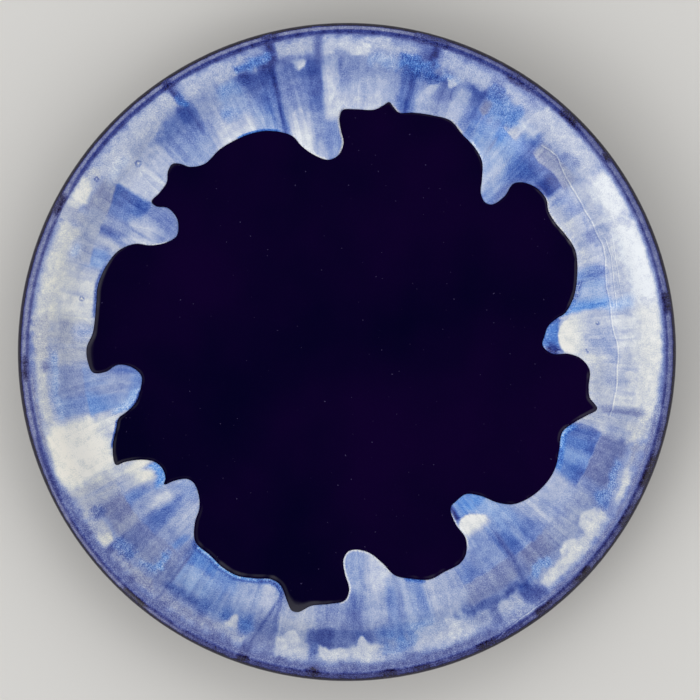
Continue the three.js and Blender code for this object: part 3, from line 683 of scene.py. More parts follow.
def wall_curve(share):
    """Points and outward normals on the front of the clay wall, from the well at 0 to the lip at 1."""
    start = np.array([WELL_RADIUS, WELL_CLAY])
    end = LIP_CENTRE + LIP_RADIUS * direction(90 + RIM_SLOPE)
    corners = np.array([start, start + [BEND_ARM, 0], end - FLARE_ARM * direction(RIM_SLOPE), end])
    left = 1 - share[:, None]
    right = share[:, None]
    points = (left**3 * corners[0] + 3 * left**2 * right * corners[1]
              + 3 * left * right**2 * corners[2] + right**3 * corners[3])
    along = (left**2 * (corners[1] - corners[0]) + 2 * left * right * (corners[2] - corners[1])
             + right**2 * (corners[3] - corners[2]))
    along /= np.linalg.norm(along, axis=1)[:, None]
    return points, np.stack([-along[:, 1], along[:, 0]], axis=1)


def lip_round(first, last, build, rows):
    """Points over the round of the lip between two angles, that far outside the clay."""
    return LIP_CENTRE + (LIP_RADIUS + build) * direction(np.linspace(first, last, rows))


def front_rows(build):
    """Section points from the edge of the well to the outermost place of the lip."""
    points, normals = wall_curve(np.linspace(0, 1, WALL_ROWS))
    return np.concatenate([points + build * normals, lip_round(90 + RIM_SLOPE, 0, build, LIP_ROWS * 2)[1:]])


def back_rows(build):
    """Section points from the back of the lip to the edge of the flat underside."""
    share = np.linspace(1, 0, WALL_ROWS)
    points, normals = wall_curve(share)
    thickness = FLOOR_THICKNESS + (LIP_THICKNESS - FLOOR_THICKNESS) * share
    return points - (thickness + build)[:, None] * normals


def front_surface(radius):
    """Height of the finished dark coat at each radius, and its outward normal."""
    rows = front_rows(COAT_BUILD)
    along = np.gradient(rows, axis=0)
    along /= np.linalg.norm(along, axis=1)[:, None]
    height = np.interp(radius, rows[:, 0], rows[:, 1], left=WELL_HEIGHT)
    outward = np.interp(radius, rows[:, 0], -along[:, 1], left=0)
    upward = np.interp(radius, rows[:, 0], along[:, 0], left=1)
    return height, outward, upward


# Edge of the overlay


def drip_edge():
    """Evenly spaced plan points on the edge of the overlay, and normals that point into the overlay."""
    table = np.array(DRIP_EDGE, float)
    corners = direction(table[:, 0]) * (PLATE_RADIUS - table[:, 1])[:, None]
    dense = np.concatenate([
        rounded_span(*np.roll(corners, 1 - step, axis=0)[:4]) for step in range(len(corners))
    ])
    lengths = np.linalg.norm(np.roll(dense, -1, axis=0) - dense, axis=1)
    walked = np.concatenate([[0], np.cumsum(lengths)])
    count = round(walked[-1] / EDGE_SPACING)
    places = np.linspace(0, walked[-1], count, endpoint=False)
    closed = np.concatenate([dense, dense[:1]])
    points = np.stack([np.interp(places, walked, closed[:, axis]) for axis in (0, 1)], axis=1)
    along = np.roll(points, -1, axis=0) - np.roll(points, 1, axis=0)
    along /= np.linalg.norm(along, axis=1)[:, None]
    return points, np.stack([along[:, 1], -along[:, 0]], axis=1)


SPAN_STEPS = 24


def rounded_span(before, start, end, after):
    """Points of a centripetal curve from start to end, without the end."""
    knots = np.cumsum([0] + [
        math.sqrt(np.linalg.norm(b - a)) for a, b in ((before, start), (start, end), (end, after))
    ])
    place = np.linspace(knots[1], knots[2], SPAN_STEPS, endpoint=False)[:, None]

    def between(first, last, a, b):
        return ((knots[last] - place) * a + (place - knots[first]) * b) / (knots[last] - knots[first])

    outer = between(0, 1, before, start)
    middle = between(1, 2, start, end)
    inner = between(2, 3, end, after)
    return between(1, 2, between(0, 2, outer, middle), between(1, 3, middle, inner))


EDGE, EDGE_NORMAL = drip_edge()


def edge_tree():
    """The points of the edge, ready to be searched for the nearest one."""
    tree = kdtree.KDTree(len(EDGE))
    for index, (x, y) in enumerate(EDGE):
        tree.insert((x, y, 0), index)
    tree.balance()
    return tree


EDGE_TREE = edge_tree()


def depth_inside(points):
    """How far each plan point lies inside the overlay, in millimetres, below zero on the clear well."""
    nearest = np.array([EDGE_TREE.find((x, y, 0))[1] for x, y in points])
    offset = points - EDGE[nearest]
    square = (offset * EDGE_NORMAL[nearest]).sum(axis=1)
    far = np.linalg.norm(offset, axis=1)
    beside = np.sqrt(np.maximum(far**2 - square**2, 0)) < EDGE_SPACING
    return np.where(beside, square, np.sign(square) * far)


# Meshes


def make_piece(name, points, faces, material):
    """A smooth mesh object from points in millimetres."""
    mesh = bpy.data.meshes.new(name)
    mesh.from_pydata((np.asarray(points) * MM).tolist(), [], faces)
    mesh.update()
    mesh.shade_smooth()
    mesh.materials.append(material)
    piece = bpy.data.objects.new(name, mesh)
    bpy.context.scene.collection.objects.link(piece)
    return piece


def even_turn(count, turn=0.0):
    """Unit vectors at that many even steps round the plate, the first of them turned by part of a step."""
    return direction((np.arange(count) + turn) * 360 / count)


LEAST_RING = 8


def ring(radius, spacing, turn=0.0):
    """Evenly spaced plan points on a circle."""
    return even_turn(max(LEAST_RING, round(2 * math.pi * radius / spacing)), turn) * radius


def filled_rings(inner, outer, spacing):
    """Plan points on staggered circles between two radii."""
    radii = np.arange(inner, outer, spacing * math.sqrt(3) / 2)
    return np.concatenate([ring(radius, spacing, index % 2 / 2) for index, radius in enumerate(radii)])


MERGE_DISTANCE = 1e-5


def triangulate(points, loops):
    """Triangles over plan points, as rows of indices, with each loop of indices kept as edges."""
    edges = [(loop[step - 1], loop[step]) for loop in loops for step in range(len(loop))]
    found = geometry.delaunay_2d_cdt([Vector(point) for point in points], edges, [], 0, MERGE_DISTANCE, True)
    source = np.array([origin[0] for origin in found[3]])
    return source[np.array(found[2])]


def lathe_faces(rows):
    """Quads between that many successive rows of a turned surface."""
    faces = []
    for row in range(rows - 1):
        for column in range(COLUMNS):
            near = row * COLUMNS + column
            side = row * COLUMNS + (column + 1) % COLUMNS
            faces.append((near, near + COLUMNS, side + COLUMNS, side))
    return faces


def fan(pole, first, upward):
    """Triangles from a pole to the row of a turned surface whose first point has that index."""
    row = first + np.arange(COLUMNS)
    beside = np.roll(row, -1)
    sides = (row, beside) if upward else (beside, row)
    return np.column_stack([np.full(COLUMNS, pole), *sides]).tolist()


def lathe_points(rows):
    """Points of a turned surface from rows of (radius, height)."""
    flat = rows[:, 0][:, None, None] * even_turn(COLUMNS)[None]
    return np.column_stack([flat.reshape(-1, 2), np.repeat(rows[:, 1], COLUMNS)])


NEAR_AXIS = 1.0


def solid_of_turning(name, top, rows, bottom, material):
    """A closed turned piece between two flat heights, from the rows of its outside."""
    rows = np.concatenate([[[NEAR_AXIS, top]], rows, [[NEAR_AXIS, bottom]]])
    points = lathe_points(rows)
    pole = len(points)
    faces = lathe_faces(len(rows)) + fan(pole, 0, True) + fan(pole + 1, pole - COLUMNS, False)
    return make_piece(name, np.concatenate([points, [[0, 0, top], [0, 0, bottom]]]), faces, material)


def arc(radius, height, size, first, last):
    """Section points on a round of that size between two angles."""
    return np.array([radius, height]) + size * direction(np.linspace(first, last, ROUND_ROWS))


def clay_body(material):
    """The clay with its foot ring. Only the ring and a margin beside it show."""
    rows = np.concatenate([
        front_rows(0), lip_round(0, RIM_SLOPE - 90, 0, LIP_ROWS)[1:-1], back_rows(0),
        arc(FOOT_RADIUS + FOOT_FILLET, FOOT_HEIGHT - FOOT_FILLET, FOOT_FILLET, 90, 180),
        arc(FOOT_RADIUS - FOOT_EDGE, FOOT_EDGE, FOOT_EDGE, 0, -90),
        arc(FOOT_INNER_RADIUS + FOOT_EDGE, FOOT_EDGE, FOOT_EDGE, -90, -180),
        arc(FOOT_INNER_RADIUS - FOOT_FILLET, RECESS_HEIGHT - FOOT_FILLET, FOOT_FILLET, 0, 90),
    ])
    return solid_of_turning("clay_body", WELL_CLAY, rows, RECESS_HEIGHT, material)


def coat_edge(radius, top, bottom, inward):
    """Section points round the bead where a coat stops on the clay, from its outer side."""
    side = -1 if inward else 1
    bead = direction(side * np.linspace(90, -90, ROUND_ROWS)) * (top - bottom) / 2
    return np.stack([radius + side * bead[:, 0], (top + bottom) / 2 + bead[:, 1]], axis=1)


# How the dark coat climbs to the overlay: degrees round the plate, height and width in millimetres. It is
# uneven, in that many cells round the plate.
MENISCUS = [
    (2, 0.06, 1.0), (10, 0.08, 1.0), (14, 0.26, 1.0), (34, 0.22, 0.9), (40, 0.12, 1.0), (46, 0.05, 1.0),
    (58, 0.12, 0.9), (66, 0.05, 0.8), (79, 0.08, 0.8), (84, 0.03, 0.8), (150, 0.03, 0.8), (158, 0.12, 0.7),
    (168, 0.26, 1.1), (178, 0.28, 1.3), (183, 0.12, 1.2), (192, 0.12, 1.2), (197, 0.20, 1.2),
    (204, 0.18, 1.2), (212, 0.12, 1.4), (226, 0.10, 1.4), (231, 0.25, 1.8), (258, 0.30, 1.9),
    (264, 0.14, 1.5), (272, 0.06, 1.2), (284, 0.10, 1.5), (290, 0.18, 1.6), (298, 0.14, 1.6),
    (304, 0.06, 1.2), (318, 0.12, 1.5), (330, 0.05, 1.0), (338, 0.16, 1.3), (352, 0.26, 1.3),
    (357, 0.10, 1.2),
]
MENISCUS_CELLS = 260


def meniscus(angle, depth):
    """How far the dark coat climbs up to the edge of the overlay."""
    angles, heights, widths = zip(*MENISCUS)
    outside = smooth_step(-np.interp(angle, angles, widths, period=360), 0, depth)
    under = np.clip(1 - depth / GLAZE_SPACING, 0, 1)
    uneven = 0.5 + ring_noise(angle, angle, MENISCUS_CELLS, 360, seed=10)
    return uneven * np.interp(angle, angles, heights, period=360) * np.where(depth < 0, outside, under)


# Rows of points along the edge of the overlay in the mesh of the dark coat, in millimetres inside the edge,
# and the band round their middle where they take the place of the wide filling
COAT_EDGE_ROWS = (-2.4, -1.5, -1.1, -0.75, -0.45, -0.2, 0, 0.25, 0.6)
COAT_EDGE_MIDDLE = -0.9
COAT_EDGE_BAND = 2.6


def base_coat(material):
    """The dark coat over the front, the lip and the outside, with a rounded edge near the foot ring."""
    join = even_turn(COLUMNS) * LIP_CENTRE[0]
    edge_rows = [EDGE + offset * EDGE_NORMAL for offset in COAT_EDGE_ROWS]
    filling = filled_rings(UNDER_SPACING, LIP_CENTRE[0] - UNDER_SPACING / 2, UNDER_SPACING)
    filling = filling[np.abs(depth_inside(filling) - COAT_EDGE_MIDDLE) > COAT_EDGE_BAND]
    plan = np.concatenate([join, *edge_rows, filling])
    first = COLUMNS + COAT_EDGE_ROWS.index(0) * len(EDGE)
    faces = triangulate(plan, [range(COLUMNS), range(first, first + len(EDGE))]).tolist()
    angle, reach = polar(plan)
    height = front_surface(PLATE_RADIUS - reach)[0] + meniscus(angle, depth_inside(plan))
    front = np.column_stack([plan, height])

    outside = np.concatenate([
        lip_round(90, RIM_SLOPE - 90, COAT_BUILD, LIP_ROWS * 2)[:-1],
        back_rows(COAT_BUILD),
        coat_edge(FOOT_RADIUS + COAT_STOP, FOOT_HEIGHT, FOOT_HEIGHT - COAT_BUILD, True),
        back_rows(0)[::-1],
        lip_round(RIM_SLOPE - 90, 90 + RIM_SLOPE, 0, LIP_ROWS)[1:-1],
        front_rows(0)[:WALL_ROWS][::-1],
    ])
    turned = lathe_points(outside[1:])
    quads = np.array(lathe_faces(len(outside)))
    quads[quads >= COLUMNS] += len(front) - COLUMNS
    pole = len(front) + len(turned)
    faces += quads.tolist() + fan(pole, pole - COLUMNS, False)
    points = np.concatenate([front, turned, [[0, 0, WELL_CLAY]]])
    return make_piece("cobalt_coat", points, faces, material)


def foot_coat(material):
    """The patch of dark coat inside the foot ring."""
    under = RECESS_HEIGHT - COAT_BUILD
    rows = coat_edge(FOOT_INNER_RADIUS - COAT_STOP, RECESS_HEIGHT, under, False)
    return solid_of_turning("foot_coat", RECESS_HEIGHT, rows, under, material)


# Overlay

# Thickness by distance in from the lip, the round of the edge, the swell behind it, and the throwing lines,
# all in millimetres, with the number of cells of the lines round the plate
THICKNESS_BY_REACH = [(0.5, 0.1), (3, 0.25), (10, 0.4), (19, 0.6), (26, DRIP_THICKNESS)]
BEAD_WIDTH = 1.5
EDGE_SWELL = 0.12
SWELL_PLACE = 2.4
SWELL_WIDTH = 1.6
SWELL_FADE = (20, 26)
RIPPLE = 0.035
RIPPLE_TOP_FADE = (8, 12)
RIPPLE_FOOT_FADE = (22, 19)
RIPPLE_CELLS = 48
RIPPLE_SPACING = 1.1

# A burst bubble is a pit in the overlay, with painted shade in a dark ring round it and a painted glint in
# its pale
# middle: shares of thickness and milkiness, the width of the ring in radii, and how steeply the others fall
# off with the square of the distance in radii
PIT_SHARE = 0.7
PIT_FALL = 2
PIT_PAINTED_SHADE = 0.34
PIT_RING_WIDTH = 0.34
PIT_PAINTED_GLINT = 0.12
PIT_MIDDLE_FALL = 3


def pinhole_distances(angle, reach):
    """For each burst bubble, how many of its radii each point is away from its middle."""
    for hole_angle, hole_reach, radius in PINHOLES:
        across = (angle - hole_angle) * np.radians(PLATE_RADIUS - hole_reach)
        yield np.hypot(across, reach - hole_reach) / radius


def overlay_thickness(angle, reach, depth):
    """Thickness of the overlay, which is round at its edge and has throwing lines on the wall."""
    plain = np.interp(reach, *zip(*THICKNESS_BY_REACH))
    bead = np.sqrt(1 - (1 - np.clip(depth / BEAD_WIDTH, 0, 1)) ** 2)
    swell = EDGE_SWELL * np.exp(-((depth - SWELL_PLACE) / SWELL_WIDTH) ** 2)
    swell = swell * smooth_step(*SWELL_FADE, reach)
    on_wall = smooth_step(*RIPPLE_TOP_FADE, reach) * smooth_step(*RIPPLE_FOOT_FADE, reach)
    lines = ring_noise(angle, reach, RIPPLE_CELLS, RIPPLE_SPACING, seed=5) - 0.5
    thickness = (plain + swell + RIPPLE * lines * on_wall) * bead
    for far in pinhole_distances(angle, reach):
        thickness = thickness * (1 - PIT_SHARE * np.exp(-PIT_FALL * far**2))
    return thickness


def linear(rgb):
    """A colour from 0 to 255, as it shows, in linear light."""
    share = np.asarray(rgb, float) / 255
    return np.where(share <= 0.04045, share / 12.92, ((share + 0.055) / 1.055) ** 2.4)


def coverage(run, angle, reach, fray, softness):
    """How much of a run lies on each point, from 0 to 1. Its corners are round, and fray tears its edge."""
    share = np.clip((reach - run.top) / (run.bottom - run.top), 0, 1)
    middle = (run.first + run.last) / 2 + run.lean * share
    half = (run.last - run.first) / 2
    across = np.abs(turned_from(angle, middle))
    low = run.bottom + run.bulge * (1 - np.clip(across / half, 0, 1) ** 2)
    beside = (across - half) / run.side
    beyond = np.maximum((run.top - reach) / run.rise, (reach - low) / run.end)
    outside = np.hypot(np.maximum(beside + 1, 0), np.maximum(beyond + 1, 0)) - 1
    return smooth_step(softness, -softness, outside + run.rough * fray)


def veil_coverage(veil, angle, reach):
    """How much of a veil lies on each point, from 0 to 1."""
    angles, reaches = zip(*veil.edge)
    turned = (angle - angles[0] + 90) % 360 - 90 + angles[0]
    inside = np.minimum(turned - angles[0], angles[-1] - turned)
    low = np.interp(turned, angles, reaches)
    beside = smooth_step(-veil.side, veil.side, inside)
    below = smooth_step(veil.top - veil.rise, veil.top + veil.rise, reach)
    return beside * below * smooth_step(low + veil.crisp, low - veil.crisp, reach)


def centred_noise(angle, reach, layers):
    """Noise about zero, added up from layers of (strength, cells round the plate, cell length, seed)."""
    return sum(strength * (ring_noise(angle, reach, *cells) - 0.5) for strength, *cells in layers)


# Noise that moves and frays the edges of runs, in layers of strength, cells round the plate, cell length in
# millimetres, and seed
TURN_NOISE = [(1.1, 90, 11, 1), (0.6, 300, 5, 2)]
SLIDE_NOISE = [(1.6, 120, 6, 3), (1.2, 360, 1.6, 4)]
COMBED_FRAY = [(1.3, 300, 14, 6), (1.0, 720, 9, 7)]
LUMPY_FRAY = [(1.3, 240, 2.4, 8), (1.2, 520, 1.2, 9)]
BAND_SLIDE = 0.5

# Where the noise and the contrast set in, the lip turns warm and the flare ashen, in millimetres in from
# the lip
CALM_FADE = (3, 7)
WARM_FADE = (5, 2)
ASH_FADE = (12.5, 9.5)

# How a fringe fades, in degrees at its sides and in widths of it on its way in
FRINGE_SIDE = 0.6
FRINGE_FADE = (1.4, 0.5)
FRINGE_BOIL = 0.6


def paint_overlay(angle, reach, depth):
    """Milkiness, hue and boil at each point of the overlay. Boil is 1 where the glaze is full of specks."""
    calm = smooth_step(*CALM_FADE, reach)
    turn = centred_noise(angle, reach, TURN_NOISE)
    slide = centred_noise(angle, reach, SLIDE_NOISE) * calm
    combed = centred_noise(angle, reach, COMBED_FRAY)
    lumpy = centred_noise(angle, reach, LUMPY_FRAY)
    bands = np.interp(reach + BAND_SLIDE * slide, *zip(*BANDS))
    paint = np.stack([bands, -smooth_step(*WARM_FADE, reach), np.zeros(len(angle))])

    def lay(tone, amount):
        paint[:] += amount * (np.reshape(tone, (3, 1)) - paint)

    def lay_runs(runs, fray, boil, softness):
        for run in runs:
            amount = coverage(run, angle + run.rough * turn, reach + run.rough * slide, fray, softness)
            lay((run.milk, run.hue, boil * run.rough), amount)

    def lay_veils(veils, turned, slid):
        for veil in veils:
            amount = veil_coverage(veil, angle + turned * turn, reach + slid * slide)
            lay((veil.milk, veil.hue, 0), amount)

    # The wall runs, veils and brightest right-hand clouds also carry painted reflection
    lay_runs(WALL_RUNS_AND_SHEEN, combed, boil=0, softness=1.4)
    lay_runs(POOL_RUNS, combed, boil=0, softness=1.4)
    lay_veils(VEILS_AND_SHEEN, turned=0.3, slid=0.2)
    lay_runs(CLOUD_AND_SHEEN_RUNS, lumpy, boil=0.15, softness=0.9)
    lay_runs(STREAK_RUNS, combed, boil=0, softness=1.2)
    lay_runs(CRYSTAL_RUNS, lumpy, boil=0.65, softness=1.1)
    lay_veils(LENSES, turned=0.2, slid=0)
    lay_runs(LIP_RUNS, lumpy, boil=0.3, softness=1.0)
    for far in pinhole_distances(angle, reach):
        # Painted shade in a ring round each burst bubble, and a painted glint in its middle
        paint[0] -= PIT_PAINTED_SHADE * np.exp(-((far - 1) / PIT_RING_WIDTH) ** 2)
        paint[0] += PIT_PAINTED_GLINT * np.exp(-PIT_MIDDLE_FALL * far**2)
    # Fringes along the edge; the narrow pale ones are painted highlights on the bead of the edge
    for milk, hue, first, last, width in FRINGES_AND_BEAD_GLINTS:
        half = (last - first) / 2
        across = np.abs(turned_from(angle, (first + last) / 2))
        beside = smooth_step(half + FRINGE_SIDE, half - FRINGE_SIDE, across)
        lay((milk, hue, FRINGE_BOIL), beside * smooth_step(*np.multiply(width, FRINGE_FADE), depth))
    milk, hue, boil = paint
    contrast = np.where(milk < MIDDLE_MILK, DARK_CONTRAST, PALE_CONTRAST)
    milk = milk + calm * contrast * (milk - MIDDLE_MILK)
    hue = hue - FLARE_ASH * smooth_step(*ASH_FADE, reach)
    return milk, hue, boil


def fold_offset(angle, reach):
    """How far inwards of the nearest fold each point is, times its sharpness, or far where there is none."""
    offset = np.full(len(angle), FOLD_FAR)
    for sharpness, line in FOLDS:
        angles, reaches = zip(*line)
        turned = (angle - angles[0]) % 360 + angles[0]
        here = sharpness * (reach - np.interp(turned, angles, reaches))
        here = np.where(turned > angles[-1], FOLD_FAR, here)
        offset = np.where(np.abs(here) < np.abs(offset), here, offset)
    return offset


# The filling of the overlay's mesh starts inside the longest drip, and on the underside ends short of the lip
DRIPS_RADIUS = PLATE_RADIUS - 50
UNDER_RADIUS = PLATE_RADIUS - 2

# Rows of points along the edge of the overlay, in millimetres inside it, and the band where they take the
# place of the filling
OVERLAY_EDGE_ROWS = (0, 0.12, 0.3, 0.55, 0.85, 1.25, 1.7)
OVERLAY_EDGE_BAND = 2.1

# How much the glaze's texture is drawn out along its flow
FLOW_STRETCH = 8


def overlay_plan():
    """Plan points of the overlay, those on its two edges first, and the loops of these."""
    start = LIP_CENTRE[0] + (LIP_RADIUS + COAT_BUILD) * math.cos(math.radians(DRIP_START))
    around = even_turn(LIP_COLUMNS)
    lip_radii = np.arange(start - LIP_SPACING, PLATE_RADIUS - LIP_BAND, -LIP_SPACING)
    lip_rows = [around * radius for radius in lip_radii]
    edge_rows = [EDGE + offset * EDGE_NORMAL for offset in OVERLAY_EDGE_ROWS]
    filling = filled_rings(DRIPS_RADIUS, PLATE_RADIUS - LIP_BAND - GLAZE_SPACING / 2, GLAZE_SPACING)
    filling = filling[depth_inside(filling) > OVERLAY_EDGE_BAND]
    plan = np.concatenate([around * start, *edge_rows, *lip_rows, filling])
    return plan, [range(LIP_COLUMNS), range(LIP_COLUMNS, LIP_COLUMNS + len(EDGE))]


def overlay_faces(plan, loops):
    """Triangles over plan points of the overlay, without those on the clear well."""
    faces = triangulate(plan, loops)
    return faces[depth_inside(plan[faces].mean(axis=1)) > 0]


def drip_overlay(material):
    """The thick overlay with its drips, closed underneath by the surface that it lies on."""
    plan, loops = overlay_plan()
    edge_count = LIP_COLUMNS + len(EDGE)
    angle, reach = polar(plan)
    depth = np.maximum(depth_inside(plan), 0)
    depth[LIP_COLUMNS:edge_count] = 0
    thickness = overlay_thickness(angle, reach, depth)
    thickness[:LIP_COLUMNS] = 0
    height, outward, upward = front_surface(PLATE_RADIUS - reach)
    flat = plan + (outward * thickness)[:, None] * direction(angle)
    top = np.column_stack([flat, height + upward * thickness])
    faces = overlay_faces(plan, loops)

    filling = filled_rings(DRIPS_RADIUS, UNDER_RADIUS, UNDER_SPACING)
    filling = filling[depth_inside(filling) > UNDER_SPACING / 2]
    under_faces = overlay_faces(np.concatenate([plan[:edge_count], filling]), loops)[:, ::-1]
    under_faces = np.where(under_faces < edge_count, under_faces, under_faces + len(top) - edge_count)
    bottom = np.column_stack([filling, front_surface(np.hypot(filling[:, 0], filling[:, 1]))[0]])

    points = np.concatenate([top, bottom])
    piece = make_piece("drip_overlay", points, faces.tolist() + under_faces.tolist(), material)
    angle, reach = polar(points)
    depth = np.concatenate([depth, np.zeros(len(bottom))])
    for name, values in zip(("milk", "hue", "boil"), paint_overlay(angle, reach, depth)):
        write_attribute(piece, name, values)
    write_attribute(piece, "fold", fold_offset(angle, reach))
    flow = np.column_stack([direction(angle) * PLATE_RADIUS, reach / FLOW_STRETCH])
    write_attribute(piece, "flow", flow)
    return piece


def write_attribute(piece, name, values):
    """Stores one number or one vector for each point of a piece."""
    kind, field = ("FLOAT", "value") if values.ndim == 1 else ("FLOAT_VECTOR", "vector")
    attribute = piece.data.attributes.new(name, kind, "POINT")
    attribute.data.foreach_set(field, values.astype(np.float32).ravel())


# Materials

GLAZE_GLOSS = 0.3
COBALT_TONES = [(3, 0, 31), (13, 0, 39)]
COBALT_SPECK = (58, 52, 84)
CLAY_TONES = [(176, 150, 118), (198, 174, 142)]
CLAY_IRON = (92, 66, 46)

# Colour sockets of a mix node
COLOUR_A, COLOUR_B, COLOUR_OUT = 6, 7, 2


def add_node(tree, kind, inputs=None, **settings):
    """A shader node with its settings, whose inputs are plain values or other nodes' outputs."""
    made = tree.nodes.new(kind)
    for name, value in settings.items():
        setattr(made, name, value)
    for name, value in (inputs or {}).items():
        if isinstance(value, bpy.types.NodeSocket):
            tree.links.new(value, made.inputs[name])
        else:
            made.inputs[name].default_value = value
    return made


def new_material(name, roughness, gloss):
    """A material, its node tree and its shader."""
    material = bpy.data.materials.new(name)
    material.use_nodes = True
    shader = material.node_tree.nodes["Principled BSDF"]
    shader.inputs["Roughness"].default_value = roughness
    shader.inputs["Specular IOR Level"].default_value = gloss
    return material, material.node_tree, shader


def mix_colours(tree, factor, first, second):
    """The first colour where the factor is 0, and the second where it is 1."""
    inputs = {0: factor, COLOUR_A: first, COLOUR_B: second}
    return add_node(tree, "ShaderNodeMix", inputs, data_type="RGBA").outputs[COLOUR_OUT]


def noise_value(tree, vector, scale, detail=3.0, roughness=0.55):
    """Noise from 0 to 1 with one half in the middle."""
    inputs = {"Vector": vector, "Scale": scale, "Detail": detail, "Roughness": roughness}
    return add_node(tree, "ShaderNodeTexNoise", inputs).outputs["Fac"]


def remap(tree, value, low, high, to_low=0.0, to_high=1.0, **settings):
    """The value moved from one range to another, and kept inside that."""
    inputs = {"Value": value, "From Min": low, "From Max": high, "To Min": to_low, "To Max": to_high}
    return add_node(tree, "ShaderNodeMapRange", inputs, **settings).outputs["Result"]


def bump(tree, height, distance, strength):
    """A normal bent as by a relief, which is that many metres high where the height is 1."""
    inputs = {"Height": height, "Distance": distance, "Strength": strength}
    return add_node(tree, "ShaderNodeBump", inputs).outputs["Normal"]


def rgba(tone):
    """A colour from 0 to 255 as a shader takes it."""
    return (*linear(tone), 1.0)


def object_place(tree):
    """Where a point lies on the piece, in metres."""
    return add_node(tree, "ShaderNodeTexCoord").outputs["Object"]


def cobalt_glaze():
    """Glossy violet-black coat with faint clouds of blue, and a few specks."""
    material, tree, shader = new_material("cobalt_glaze", roughness=0.06, gloss=GLAZE_GLOSS)
    place = object_place(tree)
    clouds = remap(tree, noise_value(tree, place, scale=18.0), 0.35, 0.65)
    colour = mix_colours(tree, clouds, *map(rgba, COBALT_TONES))
    specks = remap(tree, noise_value(tree, place, scale=900.0, detail=1.0), 0.77, 0.8)
    colour = mix_colours(tree, specks, colour, rgba(COBALT_SPECK))
    tree.links.new(colour, shader.inputs["Base Color"])
    skin = noise_value(tree, place, scale=60.0, detail=2.0)
    tree.links.new(bump(tree, skin, distance=0.0004, strength=0.12), shader.inputs["Normal"])
    return material


def colour_ramp(tree, value, column):
    """The overlay's colour by milkiness, from one column of its ramp."""
    made = add_node(tree, "ShaderNodeValToRGB", {"Fac": value})
    stops = made.color_ramp.elements
    while len(stops) < len(MILK_RAMP):
        stops.new(1.0)
    for stop, (position, *tones) in zip(stops, MILK_RAMP):
        stop.position = position
        stop.color = rgba(tones[column])
    return made.outputs["Color"]


def maths(tree, operation, first, second=0.0):
    """One arithmetic step on one or two values."""
    return add_node(tree, "ShaderNodeMath", {0: first, 1: second}, operation=operation).outputs[0]


def add_scaled(tree, value, change, amount):
    """The value with a change around one half added, that many times."""
    centred = maths(tree, "SUBTRACT", change, 0.5)
    return maths(tree, "ADD", value, maths(tree, "MULTIPLY", centred, amount))


# How the painted milkiness is broken up: by streaks, weaker where it is milky, by clouds, by the steps of
# thin sheets that slid over one another, stronger along the flow, and by grit, weaker where it is milky. A
# range to look up comes before the amounts at its two ends.
STREAK_AMOUNTS = (0.6, 0.88, 0.22, 0.08)
CLOUD_AMOUNT = 0.30
SHEET_STEPS = 7.0
SHEET_AMOUNTS = (1.3, 1.8, 0.0, 0.065)
GRIT_AMOUNTS = (0.6, 0.9, 0.6, 0.3)
SPECK_SQUEEZE = (1.0, 1.0, 4.5)

# A fold wavers. Its crest is a ridge in the relief and is drawn paler, a painted highlight; the side that far
# inwards of it is drawn darker, a painted shade.
FOLD_WAVER = 1.6
CREST_FADE = (0.36, 0.06)
CREST_PAINTED_HIGHLIGHT = 0.15
SIDE_PLACE = 0.5
SIDE_FADE = (0.4, 0.1)
SIDE_PAINTED_SHADE = 0.07


